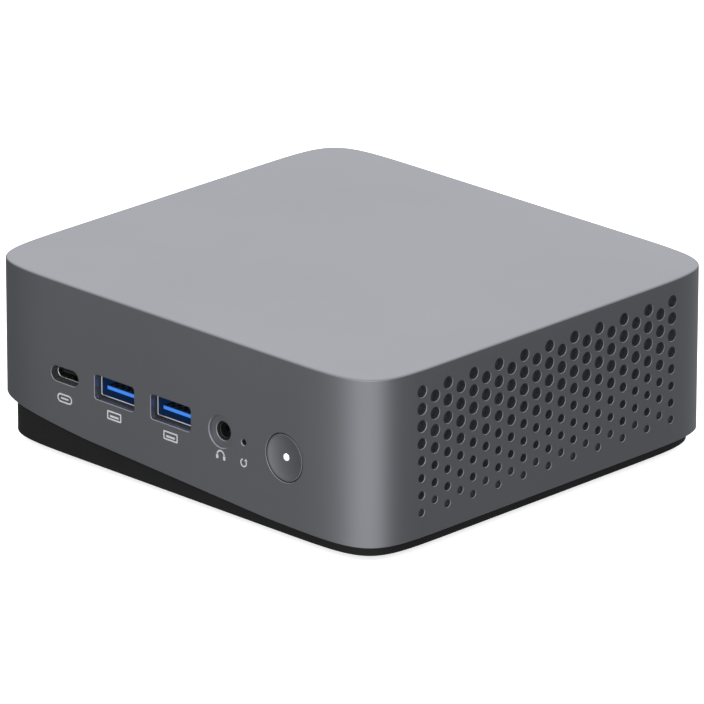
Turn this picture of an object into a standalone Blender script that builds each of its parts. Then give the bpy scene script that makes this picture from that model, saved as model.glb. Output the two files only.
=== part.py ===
"""Mini PC: an aluminium shell over a black base cover, with its board, cooler, ports, buttons and modules.

Frame: origin at the middle of the footprint on the desk, +X to the right of the port side, front towards -Y,
+Z up. Sizes below are millimetres; MM turns them into Blender's metres.
"""
import math

import bmesh
import bpy
from mathutils import Matrix

MM = 0.001

# Driving dimensions
WIDTH = 133.0
DEPTH = 123.5
HEIGHT = 47.3
HALF_X = 0.5 * WIDTH
HALF_Y = 0.5 * DEPTH
CORNER_POWER = 11.0     # exponent of the superellipse that outlines the case
OUTLINE_STEPS = 40
GAP = 0.3               # clearance between neighbouring pieces

# Case
SHELL_WALL = 1.6
TOP_EDGE = 0.5
LIP_LOW = 4.45          # height of the shell's lower edge at its right end
LIP_RISE = (6.03, 2.15)  # square and fourth-power terms of its rise towards the left end
BASE_INSET = SHELL_WALL + GAP
BASE_BOTTOM = 1.5
BASE_TOP = 13.7
BASE_WALL = 1.6
BASE_EDGE = 0.4
FOOT_AT = (45.0, 41.0)
FOOT_RADIUS = 6.0
FOOT_TOP = 2.0
CASE_SCREW_AT = (55.5, 51.5)
PAD_TOP = 6.2
SCREW_RADIUS = 1.4
SCREW_HOLE = 1.7
HEAD_RADIUS = 2.7
HEAD_HEIGHT = 1.6
RECESS_TOP = 4.2        # the case screws' heads sit in recesses this high up in the base
BOSS_RADIUS = 3.5
PAD_RADIUS = 4.3

# Vents: columns along Y, alternate columns half a row lower; each row has its hole radius, top to bottom
VENT_PITCH_Y = 4.41
VENT_MIDDLE_Y = 0.15     # the middle column, slightly towards the rear
VENT_PITCH_Z = 4.41
VENT_COLUMNS = 10       # to each side of the middle column
VENT_FIRST = {0: 5.62, 1: 7.80}
VENT_RADII = {0: (1.72, 1.72, 1.72, 1.56, 1.40, 1.25, 1.25), 1: (1.72, 1.72, 1.72, 1.56, 1.30, 1.20)}
VENT_SIDES = 6

# Board
BOARD_HALF = (60.0, 57.5)
BOARD_NOTCH = (10.0, 11.0)
BOARD_TOP = 19.9
BOARD_BOTTOM = 18.3
BOARD_SCREW_AT = (54.0, 38.0)
ON_BOARD = BOARD_TOP + GAP
UNDER_BOARD = BOARD_BOTTOM - GAP

# Front row: (x, height) of each centre
USB_C_AT = (-37.9, 23.0)
USB_A_AT = {"left": (-20.5, 23.12), "right": (-0.94, 23.12)}
AUDIO_AT = (16.3, 22.9)
RESET_AT = (24.1, 22.3)
POWER_AT = (37.8, 22.0)
PORT_DEPTH = 1.9        # receptacle faces lie this far behind the case's outer face
CUT_REACH = 4.0         # how far a cutter runs past a face of the case, each way

# Receptacles: width and height of each metal shell, its bore and the case's opening, then its depth
USB_A = {"shell": (13.1, 5.7), "bore": (12.4, 5.0), "opening": (13.73, 6.34), "depth": 14.0, "rise": 0.15}
USB_C = {"shell": (8.94, 3.2), "bore": (8.44, 2.7), "opening": (9.67, 3.95), "depth": 7.4}
HDMI_OPENING = (15.6, 6.1)
HDMI_DEPTH = 12.0
BACK_WALL = 0.5         # thickness of a receptacle shell's closed back

# Round controls: the audio socket, the reset hole and the power button
AUDIO_RECESS = (4.05, 1.3)   # radius and depth
AUDIO_HOLE_RADIUS = 2.5
AUDIO_NOSE_DEPTH = 1.73
RESET_HOLE_RADIUS = 0.75
POWER_HOLE_RADIUS = 6.38
CAP_RADIUS = 6.15
PIPE_BORE_RADIUS = 1.15

# Rear row: x of each centre
HDMI_X = {"left": -40.5, "right": -23.0}
REAR_USB_X = {"left": -5.5, "right": 10.5}
HDMI_Z = 23.0
REAR_USB_Z = 23.12
ETHERNET_X = 27.5
ETHERNET_SIZE = (16.0, 21.0, 13.5)
ETHERNET_OPENING = (16.6, 14.1)
INLET_AT = (43.5, 25.7)
INLET_HOLE_RADIUS = 4.0
GRILLE_SLOTS = 14
GRILLE_PITCH = 4.0
GRILLE_HALF_WIDTH = 1.0
GRILLE_HEIGHTS = (30.2, 41.2)

# Cooler
FAN_AT = (-21.0, -5.0)
FAN_RADIUS = 31.0
FAN_BOTTOM = 27.0
FAN_TOP = 43.5
FAN_REAR = 32.0
FAN_WALL = 1.4
INTAKE_RADIUS = 17.0
ROTOR_RADIUS = 25.5
BLADES = 13
BLADE_ROOT = 10.0
BLADE_LEAN = math.radians(12)
FIN_COUNT = 19
FIN_PITCH = 3.0
PIPE_RADIUS = 1.5
PIPE_HEIGHT = 26.6
PIPE_BEND = 12.0

# Modules under the board: their middle line, and the heights of their boards
MODULE_HEIGHTS = (14.6, 15.4)
MODULE_HALF_WIDTH = 11.0
SOCKET_HALF_WIDTH = 11.6
MODULE_SCREW_HEIGHT = 14.3
MODULE_SCREW_LENGTH = 3.7
MEMORY_X = (-45.0, 22.6)
MEMORY_SLOT_Y = 34.0
SSD_Y = -33.0
SSD_X = (-48.0, 32.0)
WIFI_X = 48.0
WIFI_Y = (-12.0, 18.0)
FAN_LEAD_RADIUS = 0.7
ANTENNA_LEAD_RADIUS = 0.55

scene = bpy.context.scene
for old in list(bpy.data.objects):
    bpy.data.objects.remove(old)

parts = bpy.data.collections.new("mini_pc")
tools = bpy.data.collections.new("cutters")
scene.collection.children.link(parts)
scene.collection.children.link(tools)

# name: colour, roughness, metallic
FINISHES = {
    "anodised": ((0.105, 0.109, 0.122, 1.0), 0.42, 0.85),
    "black_plastic": ((0.014, 0.014, 0.015, 1.0), 0.5, 0.0),
    "rubber": ((0.02, 0.02, 0.02, 1.0), 0.85, 0.0),
    "steel": ((0.62, 0.62, 0.63, 1.0), 0.3, 1.0),
    "dark_steel": ((0.08, 0.08, 0.085, 1.0), 0.4, 1.0),
    "blue_plastic": ((0.05, 0.25, 0.85, 1.0), 0.4, 0.0),
    "board": ((0.01, 0.05, 0.03, 1.0), 0.45, 0.0),
    "copper": ((0.75, 0.35, 0.2, 1.0), 0.3, 1.0),
    "aluminium": ((0.75, 0.76, 0.78, 1.0), 0.35, 1.0),
    "clear_plastic": ((0.95, 0.95, 0.97, 1.0), 0.2, 0.0),
    "silicon": ((0.18, 0.19, 0.2, 1.0), 0.2, 0.6),
}


def material_for(node, finish_name):
    colour, roughness, metallic = FINISHES[finish_name]
    material = bpy.data.materials.new(node + "_" + finish_name)
    material.use_nodes = True
    shader = material.node_tree.nodes["Principled BSDF"]
    shader.inputs["Base Color"].default_value = colour
    shader.inputs["Roughness"].default_value = roughness
    shader.inputs["Metallic"].default_value = metallic
    material.diffuse_color = colour
    return material


def finish(obj, finish_name):
    obj.data.materials.append(material_for(obj.name, finish_name))
    obj.data.shade_smooth()
    obj.data.set_sharp_from_angle(angle=math.radians(35))
    return obj


def place(name, data, at, turn=(0.0, 0.0, 0.0)):
    """An object at a point in millimetres, kept as a cutter until a finish makes it a part."""
    obj = bpy.data.objects.new(name, data)
    obj.location = [value * MM for value in at]
    obj.rotation_euler = turn
    obj.hide_render = True
    obj.display_type = "WIRE"
    tools.objects.link(obj)
    return obj


def part(obj, finish_name):
    tools.objects.unlink(obj)
    parts.objects.link(obj)
    obj.hide_render = False
    obj.display_type = "TEXTURED"
    return finish(obj, finish_name)


def mesh_from(name, shape):
    mesh = bpy.data.meshes.new(name)
    shape.to_mesh(mesh)
    shape.free()
    return mesh


def catmull_rom(before, start, end, after, share):
    """The value part of the way from start to end on the curve that passes through all four."""
    slope = end - before
    bend = 2 * before - 5 * start + 4 * end - after
    twist = 3 * start - before - 3 * end + after
    return 0.5 * (2 * start + slope * share + bend * share ** 2 + twist * share ** 3)


def smooth_route(points, per_span=3):
    """Points along a smooth curve through the given ones."""
    route = []
    padded = [points[0]] + points + [points[-1]]
    for before, start, end, after in zip(padded, padded[1:], padded[2:], padded[3:]):
        for step in range(per_span):
            share = step / per_span
            route.append(tuple(catmull_rom(*values, share) for values in zip(before, start, end, after)))
    return route + [points[-1]]


def tube(name, route, radius, finish_name):
    """A round pipe or cable along a route."""
    curve = bpy.data.curves.new(name, "CURVE")
    curve.dimensions = "3D"
    curve.bevel_depth = radius * MM
    curve.bevel_resolution = 2
    curve.use_fill_caps = True
    spline = curve.splines.new("POLY")
    spline.points.add(len(route) - 1)
    for point, at in zip(spline.points, route):
        point.co = (*(value * MM for value in at), 1.0)
    obj = bpy.data.objects.new(name, curve)
    parts.objects.link(obj)
    obj.data.materials.append(material_for(name, finish_name))


def add_block(shape, low, high):
    """One box, from its lowest to its highest corner."""
    made = bmesh.ops.create_cube(shape, size=1.0)["verts"]
    size = [(b - a) * MM for a, b in zip(low, high)]
    middle = [0.5 * (a + b) * MM for a, b in zip(low, high)]
    bmesh.ops.scale(shape, vec=size, verts=made)
    bmesh.ops.translate(shape, vec=middle, verts=made)
    return made


def blocks(name, corners):
    shape = bmesh.new()
    for low, high in corners:
        add_block(shape, low, high)
    return place(name, mesh_from(name, shape), (0.0, 0.0, 0.0))


def block(name, low, high):
    return blocks(name, [(low, high)])


def add_rod(shape, radius, length, sides):
    """One cylinder along Z, about the origin."""
    return bmesh.ops.create_cone(shape, cap_ends=True, segments=sides, radius1=radius * MM,
                                 radius2=radius * MM, depth=length * MM)["verts"]


def rod(name, radius, length, at, axis="Z", sides=16):
    """A cylinder that starts at a point and runs along an axis: Z up, Y to the rear, X to the right."""
    shape = bmesh.new()
    made = add_rod(shape, radius, length, sides)
    bmesh.ops.translate(shape, vec=(0.0, 0.0, 0.5 * length * MM), verts=made)
    turn = {"Z": (0.0, 0.0, 0.0), "Y": (-math.pi / 2, 0.0, 0.0), "X": (0.0, math.pi / 2, 0.0)}[axis]
    return place(name, mesh_from(name, shape), at, turn)


def rods(name, radius, low, high, corners, sides=16):
    """Upright cylinders at several points."""
    shape = bmesh.new()
    for x, y in corners:
        made = add_rod(shape, radius, high - low, sides)
        bmesh.ops.translate(shape, vec=(x * MM, y * MM, 0.5 * (low + high) * MM), verts=made)
    return place(name, mesh_from(name, shape), (0.0, 0.0, 0.0))


def prism(name, outline, low, high, at=(0.0, 0.0, 0.0), turn=(0.0, 0.0, 0.0)):
    """A flat outline given a thickness from low to high along its own Z."""
    curve = bpy.data.curves.new(name, "CURVE")
    curve.dimensions = "2D"
    curve.fill_mode = "BOTH"
    curve.extrude = 0.5 * (high - low) * MM
    spline = curve.splines.new("POLY")
    spline.points.add(len(outline) - 1)
    for point, (x, y) in zip(spline.points, outline):
        point.co = (x * MM, y * MM, 0.0, 1.0)
    spline.use_cyclic_u = True
    flat = bpy.data.objects.new(name + "_outline", curve)
    scene.collection.objects.link(flat)
    graph = bpy.context.evaluated_depsgraph_get()
    mesh = bpy.data.meshes.new_from_object(flat.evaluated_get(graph), depsgraph=graph)
    bpy.data.objects.remove(flat)
    shape = bmesh.new()
    shape.from_mesh(mesh)
    bmesh.ops.remove_doubles(shape, verts=shape.verts, dist=0.01 * MM)
    bmesh.ops.translate(shape, vec=(0.0, 0.0, 0.5 * (low + high) * MM), verts=shape.verts)
    bmesh.ops.dissolve_limit(shape, angle_limit=math.radians(0.1), verts=shape.verts, edges=shape.edges)
    bmesh.ops.recalc_face_normals(shape, faces=shape.faces)
    shape.to_mesh(mesh)
    shape.free()
    return place(name, mesh, at, turn)


def turned(name, profile, at, facing="up", steps=16):
    """A round piece from (radius, height) points that run down its outer side, top to bottom."""
    mesh = bpy.data.meshes.new(name)
    shape = bmesh.new()
    points = [shape.verts.new((radius * MM, 0.0, height * MM)) for radius, height in profile]
    for first, second in zip(points, points[1:]):
        shape.edges.new((first, second))
    if profile[0][0] > 0.0:
        shape.edges.new((points[-1], points[0]))
    shape.to_mesh(mesh)
    shape.free()
    turn = {"up": (0.0, 0.0, 0.0), "front": (math.pi / 2, 0.0, 0.0)}[facing]
    obj = place(name, mesh, at, turn)
    screw = obj.modifiers.new("turn", "SCREW")
    screw.steps = steps
    screw.render_steps = steps
    screw.use_merge_vertices = True
    screw.merge_threshold = 0.00001
    return obj


def combine(obj, operation, other):
    boolean = obj.modifiers.new(other.name, "BOOLEAN")
    boolean.operation = operation
    boolean.solver = "EXACT"
    boolean.object = other
    return obj


def cut(obj, *others):
    for other in others:
        combine(obj, "DIFFERENCE", other)
    return obj


def join(obj, *others):
    for other in others:
        combine(obj, "UNION", other)
    return obj


def corners_of(point):
    return [(sx * point[0], sy * point[1]) for sx in (-1, 1) for sy in (-1, 1)]


def case_outline(inset):
    points = []
    for step in range(OUTLINE_STEPS):
        angle = 2 * math.pi * step / OUTLINE_STEPS
        across, along = math.cos(angle), math.sin(angle)
        x = math.copysign(abs(across) ** (2 / CORNER_POWER), across) * (HALF_X - inset)
        y = math.copysign(abs(along) ** (2 / CORNER_POWER), along) * (HALF_Y - inset)
        points.append((x, y))
    return points


def rounded(width, height, radius, steps=3):
    """A rectangle about the origin with round corners."""
    points = []
    for turn, (sx, sy) in enumerate(((1, 1), (-1, 1), (-1, -1), (1, -1))):
        for step in range(steps + 1):
            angle = math.pi / 2 * (turn + step / steps)
            points.append((sx * (width / 2 - radius) + radius * math.cos(angle),
                           sy * (height / 2 - radius) + radius * math.sin(angle)))
    return points


def stadium(width, height, steps=6):
    return rounded(width, height, height / 2 - 0.01, steps // 2 + 1)


def facing_front(name, outline, nearest, farthest, x, z):
    """A prism whose outline faces the front, between two distances behind the case's front face."""
    return prism(name, outline, -farthest, -nearest, (x, -HALF_Y, z), (math.pi / 2, 0.0, 0.0))


def facing_rear(name, outline, nearest, farthest, x, z):
    """The same, between two distances inside the case's rear face."""
    return prism(name, outline, nearest, farthest, (x, HALF_Y, z), (math.pi / 2, 0.0, 0.0))


# Case

def open_box(name, outline_inset, low, high, wall, edge, open_side):
    """A thin-walled box on the case's outline, open at its low or its high side."""
    obj = prism(name, case_outline(outline_inset), low, high)
    shape = bmesh.new()
    shape.from_mesh(obj.data)
    away = -1.0 if open_side == "low" else 1.0
    opened = [face for face in shape.faces if face.normal.z * away > 0.9]
    bmesh.ops.delete(shape, geom=opened, context="FACES_ONLY")
    shape.to_mesh(obj.data)
    shape.free()
    bevel = obj.modifiers.new("edge", "BEVEL")
    bevel.width = edge * MM
    bevel.segments = 2
    bevel.angle_limit = math.radians(60)
    solidify = obj.modifiers.new("wall", "SOLIDIFY")
    solidify.thickness = wall * MM
    solidify.offset = -1.0
    solidify.use_even_offset = True
    return obj


def lip_height(x):
    across = (HALF_X - x) / WIDTH
    return LIP_LOW + LIP_RISE[0] * across ** 2 + LIP_RISE[1] * across ** 4


def lip_cutter():
    """Everything below the shell's lower edge, which curves up towards the left end."""
    reach, steps = HALF_X + 3.0, 12
    across = [-reach + 2 * reach * step / steps for step in range(steps + 1)]
    outline = [(x, lip_height(x)) for x in across] + [(reach, -2.0), (-reach, -2.0)]
    return prism("lip_cutter", outline, -DEPTH, DEPTH, (0.0, 0.0, 0.0), (math.pi / 2, 0.0, 0.0))


def vent_holes():
    """Where the vents are: (y, z, radius)."""
    holes = []
    for column in range(-VENT_COLUMNS, VENT_COLUMNS + 1):
        kind = column % 2
        for row, radius in enumerate(VENT_RADII[kind]):
            y = VENT_MIDDLE_Y + column * VENT_PITCH_Y
            z = HEIGHT - VENT_FIRST[kind] - row * VENT_PITCH_Z
            holes.append((y, z, radius))
    return holes


def vent_cutter():
    shape = bmesh.new()
    for side in (-1, 1):
        for y, z, radius in vent_holes():
            made = add_rod(shape, radius, 2 * CUT_REACH, VENT_SIDES)
            bmesh.ops.rotate(shape, verts=made, matrix=Matrix.Rotation(math.pi / 2, 3, "Y"))
            bmesh.ops.translate(shape, vec=(side * HALF_X * MM, y * MM, z * MM), verts=made)
    return place("vent_cutter", mesh_from("vent_cutter", shape), (0.0, 0.0, 0.0))


def front_cutters():
    """The openings in the shell's front face."""
    usb_c = stadium(*USB_C["opening"])
    cutters = [facing_front("usb_c_opening", usb_c, -CUT_REACH, CUT_REACH, *USB_C_AT)]
    for side, (x, z) in USB_A_AT.items():
        outline = rounded(*USB_A["opening"], 0.8)
        cutters.append(facing_front(f"usb_a_{side}_opening", outline, -CUT_REACH, CUT_REACH, x, z))
    outside = -HALF_Y - CUT_REACH
    recess_radius, recess_depth = AUDIO_RECESS
    audio = (AUDIO_AT[0], outside, AUDIO_AT[1])
    reset = (RESET_AT[0], outside, RESET_AT[1])
    power = (POWER_AT[0], outside, POWER_AT[1])
    cutters.append(rod("audio_recess", recess_radius, CUT_REACH + recess_depth, audio, "Y", 24))
    cutters.append(rod("audio_hole", AUDIO_HOLE_RADIUS, 2 * CUT_REACH, audio, "Y", 16))
    cutters.append(rod("reset_hole", RESET_HOLE_RADIUS, 2 * CUT_REACH, reset, "Y", 12))
    cutters.append(rod("power_hole", POWER_HOLE_RADIUS, 2 * CUT_REACH, power, "Y", 24))
    return cutters


def rear_opening(name, outline, x, z):
    return facing_rear(name, outline, -CUT_REACH, CUT_REACH, x, z)


def grille_cutter():
    """The slots that the warm air leaves by, in line with the fan."""
    low, high = GRILLE_HEIGHTS
    slots = []
    for slot in range(GRILLE_SLOTS):
        x = FAN_AT[0] + (slot - (GRILLE_SLOTS - 1) / 2) * GRILLE_PITCH
        slots.append(((x - GRILLE_HALF_WIDTH, HALF_Y - CUT_REACH, low),
                      (x + GRILLE_HALF_WIDTH, HALF_Y + CUT_REACH, high)))
    return blocks("grille_slots", slots)


def rear_cutters():
    """The openings in the shell's rear face."""
    cutters = [grille_cutter()]
    for side, x in HDMI_X.items():
        cutters.append(rear_opening(f"hdmi_{side}_opening", rounded(*HDMI_OPENING, 1.0, 1), x, HDMI_Z))
    for side, x in REAR_USB_X.items():
        outline = rounded(*USB_A["opening"], 0.8, 2)
        cutters.append(rear_opening(f"rear_usb_{side}_opening", outline, x, REAR_USB_Z))
    ethernet_middle = ON_BOARD + 0.5 * ETHERNET_SIZE[2]
    outline = rounded(*ETHERNET_OPENING, 0.6, 1)
    cutters.append(rear_opening("ethernet_opening", outline, ETHERNET_X, ethernet_middle))
    x, z = INLET_AT
    inlet = (x, HALF_Y - CUT_REACH, z)
    cutters.append(rod("inlet_opening", INLET_HOLE_RADIUS, 2 * CUT_REACH, inlet, "Y", 16))
    return cutters


def shell():
    obj = open_box("shell", 0.0, 2.0, HEIGHT, SHELL_WALL, TOP_EDGE, "low")
    under_top = HEIGHT - 0.6 * SHELL_WALL
    join(obj, rods("case_bosses", BOSS_RADIUS, PAD_TOP + GAP, under_top, corners_of(CASE_SCREW_AT), 12),
         rods("board_bosses", 3.0, ON_BOARD, under_top, corners_of(BOARD_SCREW_AT), 12),
         rod("audio_pad", 5.4, 2.0, (AUDIO_AT[0], -HALF_Y + 0.8, AUDIO_AT[1]), "Y", 24))
    cut(obj, lip_cutter(),
        rods("case_boss_holes", SCREW_HOLE, 0.0, 15.0, corners_of(CASE_SCREW_AT), 8),
        rods("board_boss_holes", SCREW_HOLE, 15.0, 28.0, corners_of(BOARD_SCREW_AT), 8),
        vent_cutter(), *front_cutters(), *rear_cutters())
    part(obj, "anodised")


def intake_slots():
    slots = []
    for row in range(9):
        y = -20.0 + 5.0 * row
        slots.append(((-30.0, y - 1.1, 0.0), (-2.0, y + 1.1, 6.0)))
        slots.append(((2.0, y - 1.1, 0.0), (30.0, y + 1.1, 6.0)))
    return blocks("intake_slots", slots)


def base_cover():
    obj = open_box("base_cover", BASE_INSET, BASE_BOTTOM, BASE_TOP, BASE_WALL, BASE_EDGE, "high")
    inside = BASE_BOTTOM + 0.5 * BASE_WALL
    join(obj, rods("screw_pads", PAD_RADIUS, inside, PAD_TOP, corners_of(CASE_SCREW_AT), 12))
    cut(obj, rods("screw_recesses", HEAD_RADIUS + 0.4, 0.0, RECESS_TOP, corners_of(CASE_SCREW_AT), 12),
        rods("pad_holes", SCREW_HOLE, 3.0, 10.0, corners_of(CASE_SCREW_AT), 8),
        rods("foot_recesses", FOOT_RADIUS + GAP, 0.0, FOOT_TOP + GAP, corners_of(FOOT_AT), 20),
        intake_slots())
    part(obj, "black_plastic")


def ends():
    """Names for the four corners of the case, with their signs."""
    return [(f"{depth}_{side}", sx, sy) for depth, sy in (("front", -1), ("rear", 1))
            for side, sx in (("left", -1), ("right", 1))]


def feet():
    chamfer = 0.4
    profile = [(0.0, FOOT_TOP), (FOOT_RADIUS, FOOT_TOP), (FOOT_RADIUS, chamfer),
               (FOOT_RADIUS - chamfer, 0.0), (0.0, 0.0)]
    for end, sx, sy in ends():
        part(turned("foot_" + end, profile, (sx * FOOT_AT[0], sy * FOOT_AT[1], 0.0), steps=20), "rubber")


def screw(name, at, length, finish_name="steel"):
    """A pan-head screw, head down, with the underside of its head at the given point."""
    profile = [(0.0, length), (SCREW_RADIUS, length), (SCREW_RADIUS, 0.0), (HEAD_RADIUS, 0.0),
               (HEAD_RADIUS, -1.0), (HEAD_RADIUS - 0.7, -HEAD_HEIGHT), (0.0, -HEAD_HEIGHT)]
    part(turned(name, profile, at, steps=10), finish_name)


def screws():
    for end, sx, sy in ends():
        case_at = (sx * CASE_SCREW_AT[0], sy * CASE_SCREW_AT[1], RECESS_TOP - GAP)
        board_at = (sx * BOARD_SCREW_AT[0], sy * BOARD_SCREW_AT[1], UNDER_BOARD)
        screw("case_screw_" + end, case_at, 10.0, "dark_steel")
        screw("board_screw_" + end, board_at, 8.5)


# Board and what it carries

def mainboard():
    x, y = BOARD_HALF
    obj = block("mainboard", (-x, -y, BOARD_BOTTOM), (x, y, BOARD_TOP))
    notches = []
    for sx, sy in corners_of((1, 1)):
        near, far = (x - BOARD_NOTCH[0], y - BOARD_NOTCH[1]), (x + 5.0, y + 5.0)
        low = [min(sign * a, sign * b) for sign, a, b in zip((sx, sy), near, far)]
        high = [max(sign * a, sign * b) for sign, a, b in zip((sx, sy), near, far)]
        notches.append(((*low, BOARD_BOTTOM - 3.0), (*high, BOARD_TOP + 3.0)))
    cut(obj, blocks("board_notches", notches),
        rods("board_holes", SCREW_HOLE, 15.0, 22.0, corners_of(BOARD_SCREW_AT), 12))
    part(obj, "board")


def socket_shell(name, outline, bore, depth, x, z, facing):
    """A sheet-metal receptacle: a tube with its mouth outwards and a closed back."""
    obj = facing(name, outline, PORT_DEPTH, PORT_DEPTH + depth, x, z)
    cut(obj, facing(name + "_bore", bore, 0.0, PORT_DEPTH + depth - BACK_WALL, x, z))
    part(obj, "steel")


def insulator(name, size, depth, tongue, x, z, facing, finish_name):
    """The moulding inside a receptacle: a block that fills its back, and the tongue that stands out of it."""
    half, low, high, start = tongue
    back = PORT_DEPTH + depth - BACK_WALL - GAP
    obj = facing(name, rounded(*size, 0.3, 1), back - 2.6, back, x, z)
    outline = [(-half, low), (half, low), (half, high), (-half, high)]
    join(obj, facing(name + "_tongue", outline, start, back - 1.0, x, z))
    part(obj, finish_name)


def usb_a(prefix, x, z, facing):
    middle = z + USB_A["rise"]
    outline = rounded(*USB_A["shell"], 0.6, 2)
    bore = rounded(*USB_A["bore"], 0.3, 1)
    tongue = (5.5, -1.42, -0.22, 3.0)
    socket_shell(prefix + "_shell", outline, bore, USB_A["depth"], x, middle, facing)
    insulator(prefix + "_tongue", (11.8, 4.3), USB_A["depth"], tongue, x, middle, facing, "blue_plastic")


def hdmi(prefix, x, facing):
    wide = [(-7.5, 2.75), (-7.5, -0.6), (-6.0, -2.75), (6.0, -2.75), (7.5, -0.6), (7.5, 2.75)]
    bore = [(-7.1, 2.35), (-7.1, -0.4), (-5.8, -2.35), (5.8, -2.35), (7.1, -0.4), (7.1, 2.35)]
    tongue = (5.1, -0.5, 0.7, 3.4)
    socket_shell(prefix + "_shell", wide, bore, HDMI_DEPTH, x, HDMI_Z, facing)
    insulator(prefix + "_tongue", (10.8, 3.6), HDMI_DEPTH, tongue, x, HDMI_Z, facing, "black_plastic")


def usb_c():
    """The small receptacle, and the riser that holds it up off the board."""
    x, z = USB_C_AT
    tongue = (3.3, -0.35, 0.35, 2.7)
    riser_top = z - 0.5 * USB_C["shell"][1] - GAP
    socket_shell("usb_c_shell", stadium(*USB_C["shell"]), stadium(*USB_C["bore"]), USB_C["depth"], x, z,
                 facing_front)
    insulator("usb_c_tongue", (7.0, 1.9), USB_C["depth"], tongue, x, z, facing_front, "black_plastic")
    part(block("usb_c_riser", (x - 4.0, -58.0, ON_BOARD), (x + 4.0, -52.6, riser_top)), "black_plastic")


def front_ports():
    usb_c()
    for side, (x, z) in USB_A_AT.items():
        usb_a("usb_a_" + side, x, z, facing_front)


def rear_ports():
    for side, x in HDMI_X.items():
        hdmi("hdmi_" + side, x, facing_rear)
    for side, x in REAR_USB_X.items():
        usb_a("rear_usb_" + side, x, REAR_USB_Z, facing_rear)


def audio_jack():
    x, z = AUDIO_AT
    front = -HALF_Y + AUDIO_NOSE_DEPTH
    body_front = front + 1.42
    obj = block("audio_jack", (x - 3.25, body_front, ON_BOARD), (x + 3.25, front + 13.0, ON_BOARD + 5.4))
    join(obj, rod("audio_nose", AUDIO_HOLE_RADIUS - 0.25, 4.0, (x, front, z), "Y", 16))
    cut(obj, rod("audio_bore", 1.82, 14.0, (x, front - 2.0, z), "Y", 16))
    part(obj, "black_plastic")


def reset_switch():
    x, z = RESET_AT
    body_front = -HALF_Y + 3.4
    obj = block("reset_switch", (x - 2.4, body_front, ON_BOARD), (x + 2.4, body_front + 3.6, z + 2.1))
    cut(obj, rod("reset_switch_bore", 1.25, 3.8, (x, body_front - 2.0, z), "Y", 12))
    part(obj, "black_plastic")
    part(rod("reset_plunger", 0.95, 2.3, (x, -HALF_Y + 2.3, z), "Y", 12), "dark_steel")


def power_button():
    """The cap with its dished face, the light pipe through its middle, and the switch that it presses."""
    x, z = POWER_AT
    at = (x, -HALF_Y, z)
    dish_depth, rim_depth, dish_radius, steps = 0.69, 0.07, 5.9, 3
    dish = [(PIPE_BORE_RADIUS + (dish_radius - PIPE_BORE_RADIUS) * step / steps,
             (dish_depth - rim_depth) * (step / steps) ** 2 - dish_depth) for step in range(steps + 1)]
    flange_radius, stem_radius, stem_end = 7.0, 1.8, -5.5
    back = [(CAP_RADIUS, -rim_depth), (CAP_RADIUS, -1.95), (flange_radius, -1.95), (flange_radius, -2.75),
            (stem_radius, -2.75), (stem_radius, stem_end), (PIPE_BORE_RADIUS, stem_end)]
    part(turned("power_button", dish + back, at, "front", 24), "anodised")
    pipe_radius = PIPE_BORE_RADIUS - 0.2
    pipe = [(0.0, -0.66), (pipe_radius, -0.66), (pipe_radius, stem_end), (0.0, stem_end)]
    part(turned("power_light_pipe", pipe, at, "front", 12), "clear_plastic")
    part(rod("power_switch_plunger", 1.4, 2.4, (x, -HALF_Y + 5.8, z), "Y", 12), "black_plastic")
    body_front = -HALF_Y + 6.6
    obj = block("power_switch", (x - 3.0, body_front, ON_BOARD), (x + 3.0, body_front + 4.0, ON_BOARD + 4.6))
    cut(obj, rod("power_switch_bore", 1.65, 4.6, (x, body_front - 2.0, z), "Y", 12))
    part(obj, "black_plastic")


def ethernet_jack():
    """A metal-clad block with the plug's cavity and, above it, the room for the plug's latch."""
    x, low = ETHERNET_X, ON_BOARD
    width, depth, height = ETHERNET_SIZE
    face = HALF_Y - PORT_DEPTH
    obj = block("ethernet_jack", (x - 0.5 * width, face - depth, low), (x + 0.5 * width, face, low + height))
    cavity = block("ethernet_cavity", (x - 5.95, face - 14.0, low + 3.0), (x + 5.95, HALF_Y, low + 10.0))
    latch_room = block("ethernet_latch_room", (x - 3.2, face - 10.0, low + 9.0),
                       (x + 3.2, HALF_Y, low + 11.8))
    part(cut(obj, cavity, latch_room), "steel")


def dc_inlet():
    x, z = INLET_AT
    face = HALF_Y - PORT_DEPTH
    obj = block("dc_inlet", (x - 4.5, face - 14.0, ON_BOARD), (x + 4.5, face, ON_BOARD + 11.0))
    cut(obj, rod("inlet_bore", 2.9, 14.0, (x, face - 11.0, z), "Y", 16))
    part(obj, "black_plastic")
    part(rod("dc_inlet_pin", 1.1, 8.2, (x, face - 10.7, z), "Y", 12), "steel")


# Cooler

def processor():
    obj = block("processor", (12.0, -8.0, ON_BOARD), (44.0, 20.0, ON_BOARD + 1.2))
    join(obj, block("processor_die", (21.0, -1.0, ON_BOARD + 0.6), (35.0, 13.0, ON_BOARD + 2.0)))
    part(obj, "silicon")


def heat_pipe():
    """A round pipe from the cold plate to the fins, bent through a quarter circle."""
    steps = 6
    bend_x, bend_y = 12.0, 24.5
    run_y = bend_y + PIPE_BEND
    bend = []
    for step in range(steps + 1):
        angle = math.pi / 2 * step / steps
        bend.append((bend_x + PIPE_BEND * math.cos(angle), bend_y + PIPE_BEND * math.sin(angle)))
    route = [(24.0, -10.0), (24.0, 7.0)] + bend + [(-16.0, run_y), (-46.0, run_y)]
    tube("heat_pipe", [(x, y, PIPE_HEIGHT) for x, y in route], PIPE_RADIUS, "copper")


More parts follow.
